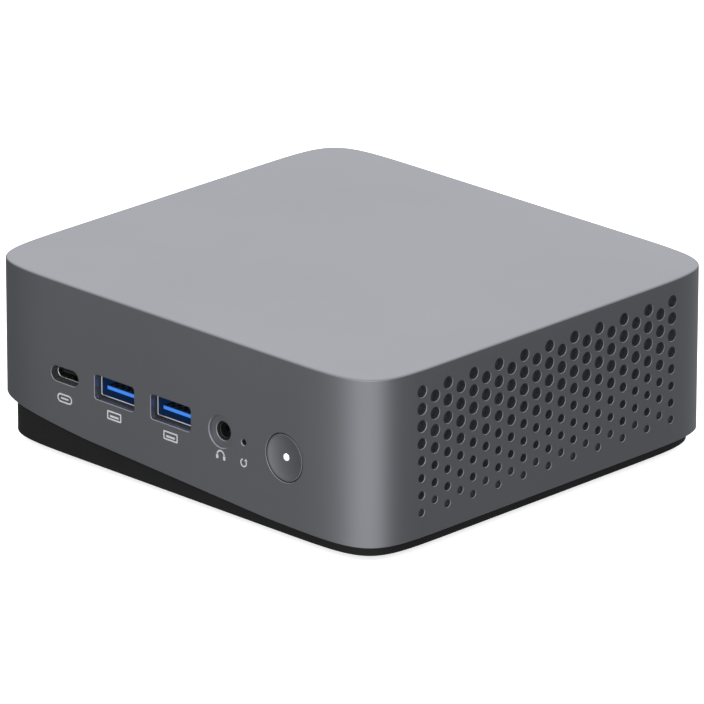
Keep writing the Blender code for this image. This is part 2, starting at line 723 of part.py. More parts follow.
def heatsink():
    """A block of upright fins behind the fan, on two legs."""
    half_width = 0.5 * (FIN_COUNT * FIN_PITCH + 1.0)
    low_x, high_x = FAN_AT[0] - half_width, FAN_AT[0] + half_width
    fins = block("heatsink", (low_x, FAN_REAR + 1.0, 28.4), (high_x, 58.0, FAN_TOP))
    legs = rods("heatsink_legs", 1.8, ON_BOARD, 29.0, ((low_x + 4.0, 42.0), (high_x - 4.0, 42.0)), 8)
    gaps = []
    for fin in range(FIN_COUNT):
        x = low_x + 1.0 + fin * FIN_PITCH
        gaps.append(((x, FAN_REAR - 2.0, 29.8), (x + 2.0, 62.0, FAN_TOP - 0.6)))
    part(cut(join(fins, legs), blocks("fin_gaps", gaps)), "aluminium")


def cooler():
    part(prism("cold_plate", rounded(36.0, 32.0, 3.0), 22.5, 24.8, (28.0, 6.0, 0.0)), "copper")
    heat_pipe()
    heatsink()


def fan_outline(radius, rear):
    """A half circle towards the front, with straight sides to the rear."""
    x, y = FAN_AT
    arc = []
    for step in range(17):
        angle = math.pi * (1 + step / 16)
        arc.append((x + radius * math.cos(angle), y + radius * math.sin(angle)))
    return arc + [(x + radius, rear), (x - radius, rear)]


def fan_frame():
    x, y = FAN_AT
    obj = prism("fan_frame", fan_outline(FAN_RADIUS, FAN_REAR), FAN_BOTTOM, FAN_TOP)
    posts = ((x - 22.0, y - 14.0), (x + 22.0, y - 14.0), (x - 22.0, y + 30.0), (x + 22.0, y + 30.0))
    join(obj, rods("fan_posts", 2.2, ON_BOARD, FAN_BOTTOM + 0.6, posts, 8))
    chamber = fan_outline(FAN_RADIUS - FAN_WALL, FAN_REAR + 6.0)
    cut(obj, prism("fan_chamber", chamber, FAN_BOTTOM + 1.2, FAN_TOP - 1.0),
        rod("fan_intake", INTAKE_RADIUS, 6.0, (x, y, FAN_TOP - 3.0), sides=24))
    part(obj, "black_plastic")


def fan_rotor():
    """A cup over the stator, with straight forward-leaning blades; it turns about its own upright axis."""
    x, y = FAN_AT
    cup = [(0.0, 12.5), (10.5, 12.5), (11.0, 12.0), (11.0, 1.0), (9.4, 1.0), (9.4, 11.3), (0.0, 11.3)]
    obj = turned("fan_rotor", cup, (x, y, FAN_BOTTOM + 1.6), steps=26)
    shape = bmesh.new()
    for blade in range(BLADES):
        made = add_block(shape, (BLADE_ROOT, -0.4, 1.4), (ROTOR_RADIUS, 0.4, 11.6))
        lean = Matrix.Rotation(BLADE_LEAN, 4, "Z")
        turn = Matrix.Rotation(2 * math.pi * (blade + 0.5) / BLADES, 4, "Z")
        root = Matrix.Translation((BLADE_ROOT * MM, 0.0, 0.0))
        bmesh.ops.transform(shape, matrix=turn @ root @ lean @ root.inverted(), verts=made)
    blades = place("fan_blades", mesh_from("fan_blades", shape), (x, y, FAN_BOTTOM + 1.6))
    part(join(obj, blades), "black_plastic")
    stator = [(0.0, 9.4), (7.8, 9.4), (8.2, 9.0), (8.2, 0.0), (0.0, 0.0)]
    part(turned("fan_stator", stator, (x, y, FAN_BOTTOM + 1.5), steps=16), "copper")


# Modules under the board

def module_socket(name, low, high, slot_low, slot_high):
    obj = block(name, low, high)
    cut(obj, block(name + "_slot", slot_low, slot_high))
    part(obj, "black_plastic")


def module(name, low, high, chips, notch=None):
    obj = block(name, low, high)
    for index, chip in enumerate(chips):
        join(obj, block(f"{name}_chip_{index}", *chip))
    if notch:
        cut(obj, notch)
    part(obj, "board")


def memory():
    (low_x, high_x), slot_y = MEMORY_X, MEMORY_SLOT_Y
    module_socket("memory_socket", (low_x - 1.8, slot_y, 12.8), (high_x + 1.8, slot_y + 7.0, UNDER_BOARD),
                  (low_x - 0.3, slot_y - 1.0, 13.4), (high_x + 0.3, slot_y + 4.4, 15.3))
    chips = []
    for index in range(4):
        x = low_x + 4.0 + 16.0 * index
        chips.append(((x, 12.0, 12.9), (x + 11.0, 24.0, 14.2)))
    module("memory_module", (low_x, 8.0, 13.75), (high_x, slot_y + 4.0, 14.95), chips)


def card_socket(name, low, high, slot_low, slot_high):
    """A socket for a small card, with its slot along the card's edge: corners as (x, y)."""
    module_socket(name, (*low, 13.8), (*high, UNDER_BOARD), (*slot_low, 14.3), (*slot_high, 15.7))


def solid_state_drive():
    (low_x, high_x), y = SSD_X, SSD_Y
    socket_x = high_x - 4.2
    low_z, high_z = MODULE_HEIGHTS
    card_socket("ssd_socket", (socket_x, y - SOCKET_HALF_WIDTH), (socket_x + 7.4, y + SOCKET_HALF_WIDTH),
                (socket_x - 1.0, y - SOCKET_HALF_WIDTH + GAP), (socket_x + 4.4, y + SOCKET_HALF_WIDTH - GAP))
    chips = [((low_x + start, y - 8.0, 13.6), (low_x + start + 16.0, y + 8.0, 14.8))
             for start in (14.0, 36.0, 56.0)]
    notch = rod("ssd_notch", SCREW_HOLE + 0.05, 4.0, (low_x, y, 13.0), sides=12)
    module("ssd_module", (low_x, y - MODULE_HALF_WIDTH, low_z), (high_x, y + MODULE_HALF_WIDTH, high_z),
           chips, notch)
    screw("ssd_screw", (low_x, y, MODULE_SCREW_HEIGHT), MODULE_SCREW_LENGTH)


def wireless_card():
    x, (low_y, high_y) = WIFI_X, WIFI_Y
    socket_y = high_y - 4.2
    low_z, high_z = MODULE_HEIGHTS
    card_socket("wifi_socket", (x - SOCKET_HALF_WIDTH, socket_y), (x + SOCKET_HALF_WIDTH, socket_y + 7.4),
                (x - SOCKET_HALF_WIDTH + GAP, socket_y - 1.0), (x + SOCKET_HALF_WIDTH - GAP, socket_y + 4.4))
    chips = [((x - 8.0, low_y + 6.0, 13.4), (x + 8.0, low_y + 22.0, 14.8))]
    notch = rod("wifi_notch", SCREW_HOLE + 0.05, 4.0, (x, low_y, 13.0), sides=12)
    module("wifi_card", (x - MODULE_HALF_WIDTH, low_y, low_z), (x + MODULE_HALF_WIDTH, high_y, high_z),
           chips, notch)
    screw("wifi_screw", (x, low_y, MODULE_SCREW_HEIGHT), MODULE_SCREW_LENGTH)


def fan_lead():
    """The blower's lead, down beside its frame to the board."""
    route = [(11.1, 0.0, 30.0), (11.1, -6.0, 29.5), (11.5, -11.0, 28.0), (12.2, -14.5, 25.0),
             (12.6, -17.0, 22.3), (13.2, -20.0, 21.4), (14.0, -23.0, 21.2)]
    tube("fan_lead", smooth_route(route), FAN_LEAD_RADIUS, "black_plastic")


def antenna():
    """A foil antenna on the inside of the base's left wall, with its lead to the wireless card."""
    inside = -(HALF_X - BASE_INSET - BASE_WALL - GAP)
    thickness = 0.6
    part(block("antenna", (inside, -18.0, 4.5), (inside + thickness, 18.0, 12.5)), "copper")
    route = [(inside + 1.5, 0.0, 8.5), (-54.0, -1.0, 8.2), (-30.0, -3.0, 7.6), (0.0, -5.0, 7.6),
             (28.0, -8.0, 9.0), (38.0, -9.0, 12.0), (43.0, -9.0, 13.5)]
    tube("antenna_lead", smooth_route(route), ANTENNA_LEAD_RADIUS, "black_plastic")


def coin_cell():
    at = (36.0, -28.0, ON_BOARD)
    holder = [(0.0, 0.7), (10.3, 0.7), (10.3, 4.0), (11.5, 4.0), (11.5, 0.0), (0.0, 0.0)]
    part(turned("coin_cell_holder", holder, at, steps=20), "black_plastic")
    cell = [(0.0, 4.2), (9.4, 4.2), (9.9, 3.7), (9.9, 1.0), (0.0, 1.0)]
    part(turned("coin_cell", cell, at, steps=20), "steel")


shell()
base_cover()
feet()
screws()
mainboard()
front_ports()
rear_ports()
audio_jack()
reset_switch()
power_button()
ethernet_jack()
dc_inlet()
processor()
cooler()
fan_frame()
fan_rotor()
memory()
solid_state_drive()
wireless_card()
fan_lead()
antenna()
coin_cell()
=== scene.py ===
import random
from math import copysign, cos, hypot, pi, radians, sin

import bmesh
import bpy
from mathutils import Matrix, Vector


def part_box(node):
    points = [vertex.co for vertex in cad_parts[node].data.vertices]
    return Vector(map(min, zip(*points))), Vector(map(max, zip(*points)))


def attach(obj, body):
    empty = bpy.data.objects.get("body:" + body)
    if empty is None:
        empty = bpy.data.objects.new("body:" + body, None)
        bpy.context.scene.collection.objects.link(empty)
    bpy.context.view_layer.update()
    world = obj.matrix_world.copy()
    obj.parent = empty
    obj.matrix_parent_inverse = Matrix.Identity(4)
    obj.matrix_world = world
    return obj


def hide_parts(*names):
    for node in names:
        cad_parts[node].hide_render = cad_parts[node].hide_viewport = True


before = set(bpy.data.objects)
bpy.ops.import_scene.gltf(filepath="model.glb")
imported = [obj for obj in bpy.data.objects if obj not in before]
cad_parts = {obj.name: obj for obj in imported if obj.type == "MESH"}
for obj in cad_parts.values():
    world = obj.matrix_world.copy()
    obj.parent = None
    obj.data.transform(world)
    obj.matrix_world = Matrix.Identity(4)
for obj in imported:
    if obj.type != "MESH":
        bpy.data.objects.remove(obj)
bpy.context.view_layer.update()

# Looks for the mini PC. Lengths are millimetres until they reach Blender, where MM makes them metres.
MM = 0.001
SKIN = 0.03            # the visible shell stays this far inside the CAD's, so that prints on it fit in too


def box_mm(node):
    low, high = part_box(node)
    return low / MM, high / MM


def extent(node):
    """Low corner, high corner and middle."""
    low, high = box_mm(node)
    return low, high, 0.5 * (low + high)


def centre_mm(node):
    return extent(node)[2]


SHELL_LOW, SHELL_HIGH = box_mm("shell")
HALF_X = SHELL_HIGH.x - SKIN
HALF_Y = SHELL_HIGH.y - SKIN
TOP = SHELL_HIGH.z - SKIN
CORNER_POWER = 11.0    # of the superellipse that the case and its base follow
OUTLINE_STEPS = 192
WALL = 1.6
TOP_EDGE = 0.55        # radius of the edge round the top
LIP_LOW = SHELL_LOW.z
LIP_RISE = (6.03, 2.15)  # of the lower edge towards -X, by the second and fourth power of the way there
LIP_EDGE = 0.15
CUT_DEPTH = 5.0        # openings are cut this far into the case

BASE_LOW, BASE_HIGH = box_mm("base_cover")
BASE_WALL = 1.6
BASE_EDGE = 0.4

# Vents: columns of two kinds, 0 and 1, by turns
VENT_PITCH_Y = 4.41
VENT_MIDDLE_Y = 0.15
VENT_PITCH_Z = 4.41
VENT_COLUMNS = 10      # on each side of the middle one
VENT_FIRST = {0: 5.62, 1: 7.80}  # from the top of the case down to the first hole
# Radius of each row's holes, top to bottom; the last row is a blind dimple
VENT_RADII = {0: (1.53, 1.53, 1.53, 1.38, 1.20, 1.05, 1.05, 0.98),
              1: (1.53, 1.53, 1.53, 1.38, 1.12, 1.03, 0.98)}
VENT_SIDES = 24
VENT_CHAMFER = 0.10
VENT_DEPTH = 3.0       # of the cutter
DIMPLE_DEPTH = 0.75

# Openings: width, height and corner radius. Those without a radius have round ends
USB_A_OPENING = (13.73, 6.34, 0.8)
USB_C_OPENING = (9.67, 3.95)
HDMI_OPENING = (15.6, 6.1, 1.0)
NETWORK_OPENING = (16.6, 14.1, 0.6)
GRILLE_SLOT = (2.0, 11.0)
BASE_SLOT = (28.0, 2.2)
BASE_SLOT_ROWS = 9
BASE_SLOT_PITCH = 5.0
BASE_SLOT_X = 16.0     # the two columns' distance from the middle
INLET_HOLE = 4.0       # radius, as the next two
RESET_HOLE = 0.75
BUTTON_HOLE = 6.22
PORT_BEVEL = 0.16
PORT_FACE = 1.9 - SKIN  # depth of the receptacles' faces behind the visible shell
GRILLE_SLOTS = 14
GRILLE_PITCH = 4.0
GRILLE_HEIGHT = 35.7
AUDIO_HEIGHT = 22.9
FAN_CENTRE = (-21.0, -5.0)
PRINT_HEIGHT = 17.05
SIGN_SCALE = 1.3
SCREW_SHANK = 1.4
CHIP_WIDTH = 3.0       # board components at least this wide are chips
LEG_PITCH = 0.8
ENDS = ("front_left", "front_right", "rear_left", "rear_right")

# Glow of the USB-A linings, the tongues' fronts and the power light. The first two stand in for light that
# reaches into the receptacles
LINING_LIFT = 0.042
BLUE_LIFT = 0.42
LIGHT_LIFT = 1.6


# Mesh helpers

def new_object(name, shape, material=None):
    mesh = bpy.data.meshes.new(name)
    shape.to_mesh(mesh)
    shape.free()
    obj = bpy.data.objects.new(name, mesh)
    bpy.context.scene.collection.objects.link(obj)
    if material:
        mesh.materials.append(material)
    return obj


def smooth(obj, angle=30.0):
    obj.data.shade_smooth()
    obj.data.set_sharp_from_angle(angle=radians(angle))


def loft(shape, rings, closed=False):
    """A solid through rings of points, all of one length, in millimetres. Closed joins the last ring to the
    first."""
    loops = [[shape.verts.new(Vector(point) * MM) for point in ring] for ring in rings]
    faces = []
    for first, second in zip(loops, loops[1:] + (loops[:1] if closed else [])):
        count = len(first)
        for index in range(count):
            after = (index + 1) % count
            faces.append(shape.faces.new((first[index], first[after], second[after], second[index])))
    if not closed:
        faces += [shape.faces.new(loops[0][::-1]), shape.faces.new(loops[-1])]
    bmesh.ops.recalc_face_normals(shape, faces=faces)
    return faces


def to_face(side, at, u, v, depth):
    """A point on a case face: u runs along it, v up it, and depth goes into the case."""
    x, y, z = at
    if side == "front":
        return (x + u, -HALF_Y + depth, z + v)
    if side == "rear":
        return (x - u, HALF_Y - depth, z + v)
    if side == "right":
        return (HALF_X - depth, y + u, z + v)
    if side == "left":
        return (-HALF_X + depth, y - u, z + v)
    return (x + u, y - v, z + depth)


def row(count, pitch):
    """Offsets of evenly spaced places from the middle one."""
    return [(index - 0.5 * (count - 1)) * pitch for index in range(count)]


def circle(radius, sides):
    return [(radius * cos(2 * pi * step / sides), radius * sin(2 * pi * step / sides))
            for step in range(sides)]


def rounded(width, height, radius, steps=5):
    points = []
    for turn, (sx, sy) in enumerate(((1, 1), (-1, 1), (-1, -1), (1, -1))):
        for step in range(steps + 1):
            angle = pi / 2 * (turn + step / steps)
            points.append((sx * (width / 2 - radius) + radius * cos(angle),
                           sy * (height / 2 - radius) + radius * sin(angle)))
    return points


def stadium(width, height, steps=8):
    return rounded(width, height, min(width, height) / 2 - 0.005, steps)


# These give an outline as a function of how far it is grown on every side

def growing_circle(radius, sides):
    return lambda grow: circle(radius + grow, sides)


def growing_box(width, height, radius):
    return lambda grow: rounded(width + 2 * grow, height + 2 * grow, radius + grow)


def growing_stadium(width, height, steps=8):
    return lambda grow: stadium(width + 2 * grow, height + 2 * grow, steps)


def plug(shape, side, at, stations):
    """A cutter through a case face: each station is an outline and its depth."""
    loft(shape, [[to_face(side, at, u, v, depth) for u, v in points] for points, depth in stations])


def round_plug(shape, side, at, profile, sides):
    """A round cutter from (radius, depth) pairs."""
    plug(shape, side, at, [(circle(radius, sides), depth) for radius, depth in profile])


def flared(outline, bevel, depth, reach=3.0):
    """Stations of an opening whose outer edge has a small bevel, from a growing outline."""
    return [(outline(bevel + reach), -reach), (outline(bevel), 0.0), (outline(0.0), bevel),
            (outline(0.0), depth)]


def apply_boolean(obj, operation, shape):
    other = new_object(obj.name + "_tool", shape)
    boolean = obj.modifiers.new("tool", "BOOLEAN")
    boolean.operation = operation
    boolean.solver = "EXACT"
    boolean.object = other
    graph = bpy.context.evaluated_depsgraph_get()
    mesh = bpy.data.meshes.new_from_object(obj.evaluated_get(graph), depsgraph=graph)
    old = obj.data
    obj.modifiers.clear()
    obj.data = mesh
    bpy.data.meshes.remove(old)
    bpy.data.objects.remove(other)
    return obj


def drill(obj, side, at, stations):
    """Cuts one opening into a finished piece."""
    hollow = bmesh.new()
    plug(hollow, side, at, stations)
    smooth(apply_boolean(obj, "DIFFERENCE", hollow))


def use_only(obj, *materials):
    """Gives a piece these materials in place of those a boolean left it with, the first one everywhere."""
    obj.data.materials.clear()
    for material in materials:
        obj.data.materials.append(material)


def piece(obj, body, slot, *nodes):
    """Puts a finished piece on its CAD body, in place of the nodes it stands for."""
    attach(obj, body)
    if nodes:
        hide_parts(*nodes)
    return obj


class Form:
    """One visible piece made of several shapes, each with its own material. Lengths are millimetres."""

    def __init__(self, name, *materials):
        self.name = name
        self.shape = bmesh.new()
        self.materials = materials

    def paint(self, faces, material):
        for face in faces:
            face.material_index = material

    def loft(self, rings, material=0, closed=False):
        self.paint(loft(self.shape, rings, closed), material)

    def extrude(self, side, at, stations, material=0, closed=False):
        """Outlines at several depths, joined up. Closed joins the last to the first, as in a ring."""
        rings = [[to_face(side, at, u, v, depth) for u, v in points] for points, depth in stations]
        self.loft(rings, material, closed)

    def turn(self, side, at, profile, material=0, sides=32, closed=False):
        """A round shape from (radius, depth) pairs."""
        stations = [(circle(radius, sides), depth) for radius, depth in profile]
        self.extrude(side, at, stations, material, closed)

    def box(self, low, high, material=0, bevel=0.0):
        """A block between two corners, with its edges eased by a bevel."""
        made = bmesh.ops.create_cube(self.shape, size=1.0)["verts"]
        size = [(b - a) * MM for a, b in zip(low, high)]
        middle = [0.5 * (a + b) * MM for a, b in zip(low, high)]
        bmesh.ops.scale(self.shape, vec=size, verts=made)
        bmesh.ops.translate(self.shape, vec=middle, verts=made)
        self.paint({face for vert in made for face in vert.link_faces}, material)
        if bevel:
            edges = {edge for vert in made for edge in vert.link_edges}
            bmesh.ops.bevel(self.shape, geom=list(edges), offset=bevel * MM, segments=1, affect="EDGES",
                            profile=0.5, material=-1)

    def block(self, x, y, size, heights, material=0, bevel=0.0):
        """A block of a width and depth about (x, y), between two heights in either order."""
        (width, depth), (low, high) = size, sorted(heights)
        self.box((x - width / 2, y - depth / 2, low), (x + width / 2, y + depth / 2, high), material, bevel)

    def slab(self, side, at, span, rise, depths, material=0, bevel=0.08):
        """A block that faces one side of the case: its span across, its rise and its depths."""
        (u0, u1), (v0, v1), (near, far) = span, rise, depths

        def outline(inset):
            low, high = (u0 + inset, v0 + inset), (u1 - inset, v1 - inset)
            return [low, (high[0], low[1]), high, (low[0], high[1])]

        stations = [(outline(bevel), near), (outline(0.0), near + bevel), (outline(0.0), far)]
        self.extrude(side, at, stations, material)

    def contacts(self, side, at, places, half, rises, depths, material):
        """Thin strips at several places across, one at each rise."""
        for u in places:
            for rise in rises:
                self.slab(side, at, (u - half, u + half), rise, depths, material, 0.01)

    def cup(self, side, at, outline, wall, face, depth, lip=0.12, inside=None):
        """A sheet-metal tube with a closed back, from a growing outline."""
        back = face + depth
        stations = [(outline(0.0), back), (outline(0.0), face + lip), (outline(-lip), face),
                    (outline(lip - wall), face), (outline(-wall), face + lip), (outline(-wall), back - 0.5)]
        self.extrude(side, at, stations)
        if inside is not None:
            count = len(stations[0][0])
            self.shape.faces.ensure_lookup_table()
            self.paint(self.shape.faces[-1:], inside)
            self.paint(self.shape.faces[-2 - count:-2], inside)

    def done(self, slot, *nodes, body="chassis", angle=30.0):
        obj = new_object(self.name, self.shape)
        for material in self.materials:
            obj.data.materials.append(material)
        smooth(obj, angle)
        return piece(obj, body, slot, *nodes)


# Materials

MIX_FACTOR, MIX_FIRST, MIX_SECOND, MIX_RESULT = 0, 6, 7, 2  # colour sockets of the Mix node


class Nodes:
    """A short way to build one node material."""

    def __init__(self, name):
        self.material = bpy.data.materials.new(name)
        self.material.use_nodes = True
        self.tree = self.material.node_tree
        self.shader = self.tree.nodes["Principled BSDF"]
        self.place = self.tree.nodes.new("ShaderNodeTexCoord").outputs["Object"]

    def node(self, kind, **values):
        """A new node with its sockets set by name."""
        made = self.tree.nodes.new(kind)
        for key, value in values.items():
            made.inputs[key.replace("_", " ")].default_value = value
        return made

    def link(self, source, target):
        self.tree.links.new(source, target)

    def set(self, **values):
        for key, value in values.items():
            self.shader.inputs[key.replace("_", " ")].default_value = value

    def noise(self, per_mm, detail=3.0, roughness=0.5, stretch=(1.0, 1.0, 1.0)):
        mapping = self.node("ShaderNodeMapping", Scale=stretch)
        self.link(self.place, mapping.inputs["Vector"])
        noise = self.node("ShaderNodeTexNoise", Scale=per_mm / MM, Detail=detail, Roughness=roughness)
        self.link(mapping.outputs["Vector"], noise.inputs["Vector"])
        return noise.outputs["Fac"]

    def spread(self, source, low, high):
        """Noise stretched to fill a range."""
        remap = self.node("ShaderNodeMapRange", From_Min=0.3, From_Max=0.7, To_Min=low, To_Max=high)
        self.link(source, remap.inputs["Value"])
        return remap.outputs["Result"]

    def mix_colours(self, factor, first, second):
        mix = self.node("ShaderNodeMix")
        mix.data_type = "RGBA"
        mix.inputs[MIX_FIRST].default_value = (*first, 1.0)
        mix.inputs[MIX_SECOND].default_value = (*second, 1.0)
        self.link(factor, mix.inputs[MIX_FACTOR])
        self.link(mix.outputs[MIX_RESULT], self.shader.inputs["Base Color"])

    def colours(self, source, first, second):
        self.mix_colours(self.spread(source, 0.0, 1.0), first, second)

    def roughen(self, source, low, high):
        self.link(self.spread(source, low, high), self.shader.inputs["Roughness"])

    def bump(self, source, height_mm, strength=1.0):
        bump = self.node("ShaderNodeBump", Strength=strength, Distance=height_mm * MM)
        self.link(source, bump.inputs["Height"])
        self.link(bump.outputs["Normal"], self.shader.inputs["Normal"])


def recipe(name, first, second, roughness, metallic=0.0, grain=(4.0, 0.01), cloud=0.08, stretch=(1, 1, 1)):
    """Slight colour clouds, and a fine grain that the roughness follows. Grain is its scale and height."""
    nodes = Nodes(name)
    nodes.set(Metallic=metallic)
    nodes.colours(nodes.noise(cloud, 4.0), first, second)
    fine = nodes.noise(grain[0], 2.0, 0.6, stretch)
    nodes.roughen(fine, *roughness)
    nodes.bump(fine, grain[1])
    return nodes


def surface(*values):
    return recipe(*values).material


def textured_plastic(*values):
    """Less mirror-like than plain plastic, as a fine moulded texture makes it."""
    nodes = recipe(*values)
    nodes.set(Specular_IOR_Level=0.3)
    return nodes.material


def glowing(colour, strength, *values):
    nodes = recipe(*values)
    nodes.set(Emission_Color=(*colour, 1.0), Emission_Strength=strength)
    return nodes.material


def solder_mask(name, mask, trace):
    """Board lacquer over copper tracks, which show as a lighter net of fine lines."""
    nodes = Nodes(name)
    pattern = nodes.node("ShaderNodeTexBrick", Scale=1.0 / MM, Brick_Width=3.1, Row_Height=0.55,
                         Mortar_Size=0.09, Mortar_Smooth=0.2)
    nodes.link(nodes.place, pattern.inputs["Vector"])
    nodes.mix_colours(pattern.outputs["Fac"], mask, trace)
    nodes.roughen(nodes.noise(1.5, 3.0), 0.22, 0.36)
    nodes.bump(pattern.outputs["Fac"], 0.03, 0.6)
    nodes.set(Coat_Weight=0.4, Coat_Roughness=0.15)
    return nodes.material


ANODISED = surface("anodised", (0.286, 0.291, 0.314), (0.302, 0.307, 0.330), (0.36, 0.42), 0.92,
                   (7.0, 0.004), 0.02)
# A darker copy of the anodised metal: painted shade in the blind dimples
PAINTED_SHADE_METAL = surface("shaded_metal", (0.140, 0.142, 0.154), (0.150, 0.152, 0.164), (0.36, 0.42), 0.92,
                       (7.0, 0.004), 0.02)
BASE_PLASTIC = textured_plastic("base_plastic", (0.0075, 0.0075, 0.008), (0.010, 0.010, 0.0105),
                                (0.55, 0.68), 0.0, (3.0, 0.012))
RUBBER = surface("foot_rubber", (0.012, 0.012, 0.012), (0.02, 0.02, 0.02), (0.75, 0.9), 0.0, (2.5, 0.02))
DARK_STEEL = surface("dark_steel", (0.06, 0.06, 0.065), (0.08, 0.08, 0.085), (0.3, 0.45), 1.0)
STEEL = surface("steel", (0.55, 0.55, 0.56), (0.66, 0.66, 0.67), (0.24, 0.36), 1.0)
PORT_STEEL = surface("port_steel", (0.6, 0.6, 0.62), (0.72, 0.72, 0.74), (0.2, 0.3), 1.0, (5.0, 0.003), 0.1,
                     (0.2, 1, 1))
GASKET = surface("port_gasket", (0.060, 0.062, 0.068), (0.075, 0.077, 0.084), (0.5, 0.6), 0.6)
GOLD = surface("contact_gold", (0.75, 0.50, 0.16), (0.86, 0.62, 0.25), (0.18, 0.30), 1.0)
BLACK_PLASTIC = surface("moulded_black", (0.010, 0.010, 0.011), (0.015, 0.015, 0.016), (0.38, 0.50))
# Near-black plastic of the port inserts; on the USB-A tongues it is also laid on as painted shade
PORT_DARK = surface("port_lining", (0.004, 0.004, 0.005), (0.008, 0.008, 0.009), (0.45, 0.60))
FILTER = surface("dust_filter", (0.026, 0.028, 0.034), (0.040, 0.042, 0.050), (0.6, 0.75), 0.0, (2.2, 0.10),
                 0.2)
PRINT = surface("pale_print", (0.66, 0.67, 0.69), (0.74, 0.75, 0.77), (0.5, 0.6), 0.0, (6.0, 0.002))
COPPER = surface("copper", (0.68, 0.32, 0.18), (0.80, 0.42, 0.26), (0.24, 0.38), 1.0, (4.0, 0.005), 0.12)
FINS = surface("fin_aluminium", (0.62, 0.63, 0.65), (0.74, 0.75, 0.77), (0.28, 0.42), 1.0, (4.0, 0.006), 0.1,
               (1.0, 0.1, 1.0))
CHIP = surface("chip_epoxy", (0.012, 0.012, 0.013), (0.020, 0.020, 0.021), (0.55, 0.70), 0.0, (8.0, 0.006),
               0.3)
SILICON = surface("silicon", (0.16, 0.17, 0.19), (0.22, 0.23, 0.26), (0.08, 0.16), 0.7, (1.0, 0.001))
CERAMIC = surface("ceramic_capacitor", (0.28, 0.18, 0.10), (0.38, 0.26, 0.15), (0.40, 0.55))
CABLE = surface("cable_jacket", (0.010, 0.010, 0.010), (0.018, 0.018, 0.018), (0.45, 0.60), 0.0, (2.0, 0.02))
FAN_PLASTIC = surface("fan_plastic", (0.012, 0.012, 0.013), (0.020, 0.020, 0.022), (0.42, 0.55), 0.0,
                      (3.0, 0.01))
WIRE_RED = surface("wire_red", (0.36, 0.02, 0.02), (0.44, 0.03, 0.03), (0.35, 0.45))
WIRE_BLUE = surface("wire_blue", (0.02, 0.06, 0.34), (0.03, 0.08, 0.42), (0.35, 0.45))
WIRE_PALE = surface("wire_pale", (0.62, 0.60, 0.48), (0.72, 0.70, 0.58), (0.35, 0.45))
# The insert's blue on each USB-A tongue's front, lit, with its painted glow
BLUE = glowing((0.05, 0.27, 1.0), BLUE_LIFT, "port_blue", (0.035, 0.19, 0.72), (0.055, 0.24, 0.82),
               (0.28, 0.38))
# A darker copy of the insert's blue: painted shade on the tongue's body
BLUE_PAINTED_SHADE = surface("port_blue_side", (0.012, 0.055, 0.20), (0.018, 0.075, 0.26), (0.3, 0.4))
# Plated steel inside a USB-A receptacle, darkened as painted shade, with a painted reflection of its insert's
# blue and a painted glow
BLUE_REFLECTION_LINING = glowing((0.07, 0.29, 1.0), LINING_LIFT, "port_blue_lining", (0.10, 0.12, 0.17),
                      (0.14, 0.16, 0.22), (0.3, 0.4), 1.0)
# The diffuser at the middle of the power button, lit from behind
LIT = glowing((0.95, 0.97, 1.0), LIGHT_LIFT, "lit_diffuser", (0.9, 0.92, 0.95), (0.97, 0.98, 1.0), (0.3, 0.4))
BOARD = solder_mask("board_lacquer", (0.004, 0.030, 0.016), (0.012, 0.062, 0.032))
MODULE_BOARD = solder_mask("module_lacquer", (0.004, 0.016, 0.036), (0.012, 0.036, 0.070))


# Case

def lip_height(x):
    across = (HALF_X - x) / (2 * HALF_X)
    return LIP_LOW + LIP_RISE[0] * across ** 2 + LIP_RISE[1] * across ** 4


class Outline:
    """A superellipse with its outward directions, so that rings can be set in from it by an even distance."""

    def __init__(self, half_x, half_y):
        self.points, self.out = [], []
        for step in range(OUTLINE_STEPS):
            angle = 2 * pi * (step + 0.5) / OUTLINE_STEPS
            across, along = cos(angle), sin(angle)
            x = copysign(abs(across) ** (2 / CORNER_POWER), across)
            y = copysign(abs(along) ** (2 / CORNER_POWER), along)
            away = Vector((copysign(abs(x) ** (CORNER_POWER - 1), x) / half_x,
                           copysign(abs(y) ** (CORNER_POWER - 1), y) / half_y))
            self.points.append((x * half_x, y * half_y))
            self.out.append(away.normalized())

    def ring(self, inset, height):
        """height is a number, or a function of x."""
        found = []
        for (x, y), away in zip(self.points, self.out):
            z = height(x) if callable(height) else height
            found.append((x - inset * away.x, y - inset * away.y, z))
        return found


def quarter(radius, steps=6):
    """(inset, drop) along a rounded edge, from the flat side to the upright side."""
    angles = [pi / 2 * step / steps for step in range(steps + 1)]
    return [(radius * (1 - sin(angle)), radius * (1 - cos(angle))) for angle in angles]


def vents(side):
    """Cutter places on one side: (y, z, radius, blind)."""
    found = []
    for column in range(-VENT_COLUMNS, VENT_COLUMNS + 1):
        kind = column % 2
        radii = VENT_RADII[kind]
        for index, radius in enumerate(radii):
            blind = index == len(radii) - 1
            if blind and side == "left":
                continue
            z = SHELL_HIGH.z - VENT_FIRST[kind] - index * VENT_PITCH_Z
            found.append((VENT_MIDDLE_Y + column * VENT_PITCH_Y, z, radius, blind))
    return found


def crown(along, half_along, half_across):
    """How far the superellipse has fallen back from its flat face at a point along it."""
    return half_across * (1 - (1 - abs(along / half_along) ** CORNER_POWER) ** (1 / CORNER_POWER))


def cut_vents(shape):
    for side in ("right", "left"):
        for y, z, radius, blind in vents(side):
            fall = crown(y, HALF_Y, HALF_X)
            profile = [(radius + VENT_CHAMFER + 1.0, fall - 1.0), (radius, fall + VENT_CHAMFER),
                       (radius, fall + (DIMPLE_DEPTH if blind else VENT_DEPTH))]
            round_plug(shape, side, (0.0, y, z), profile, VENT_SIDES)


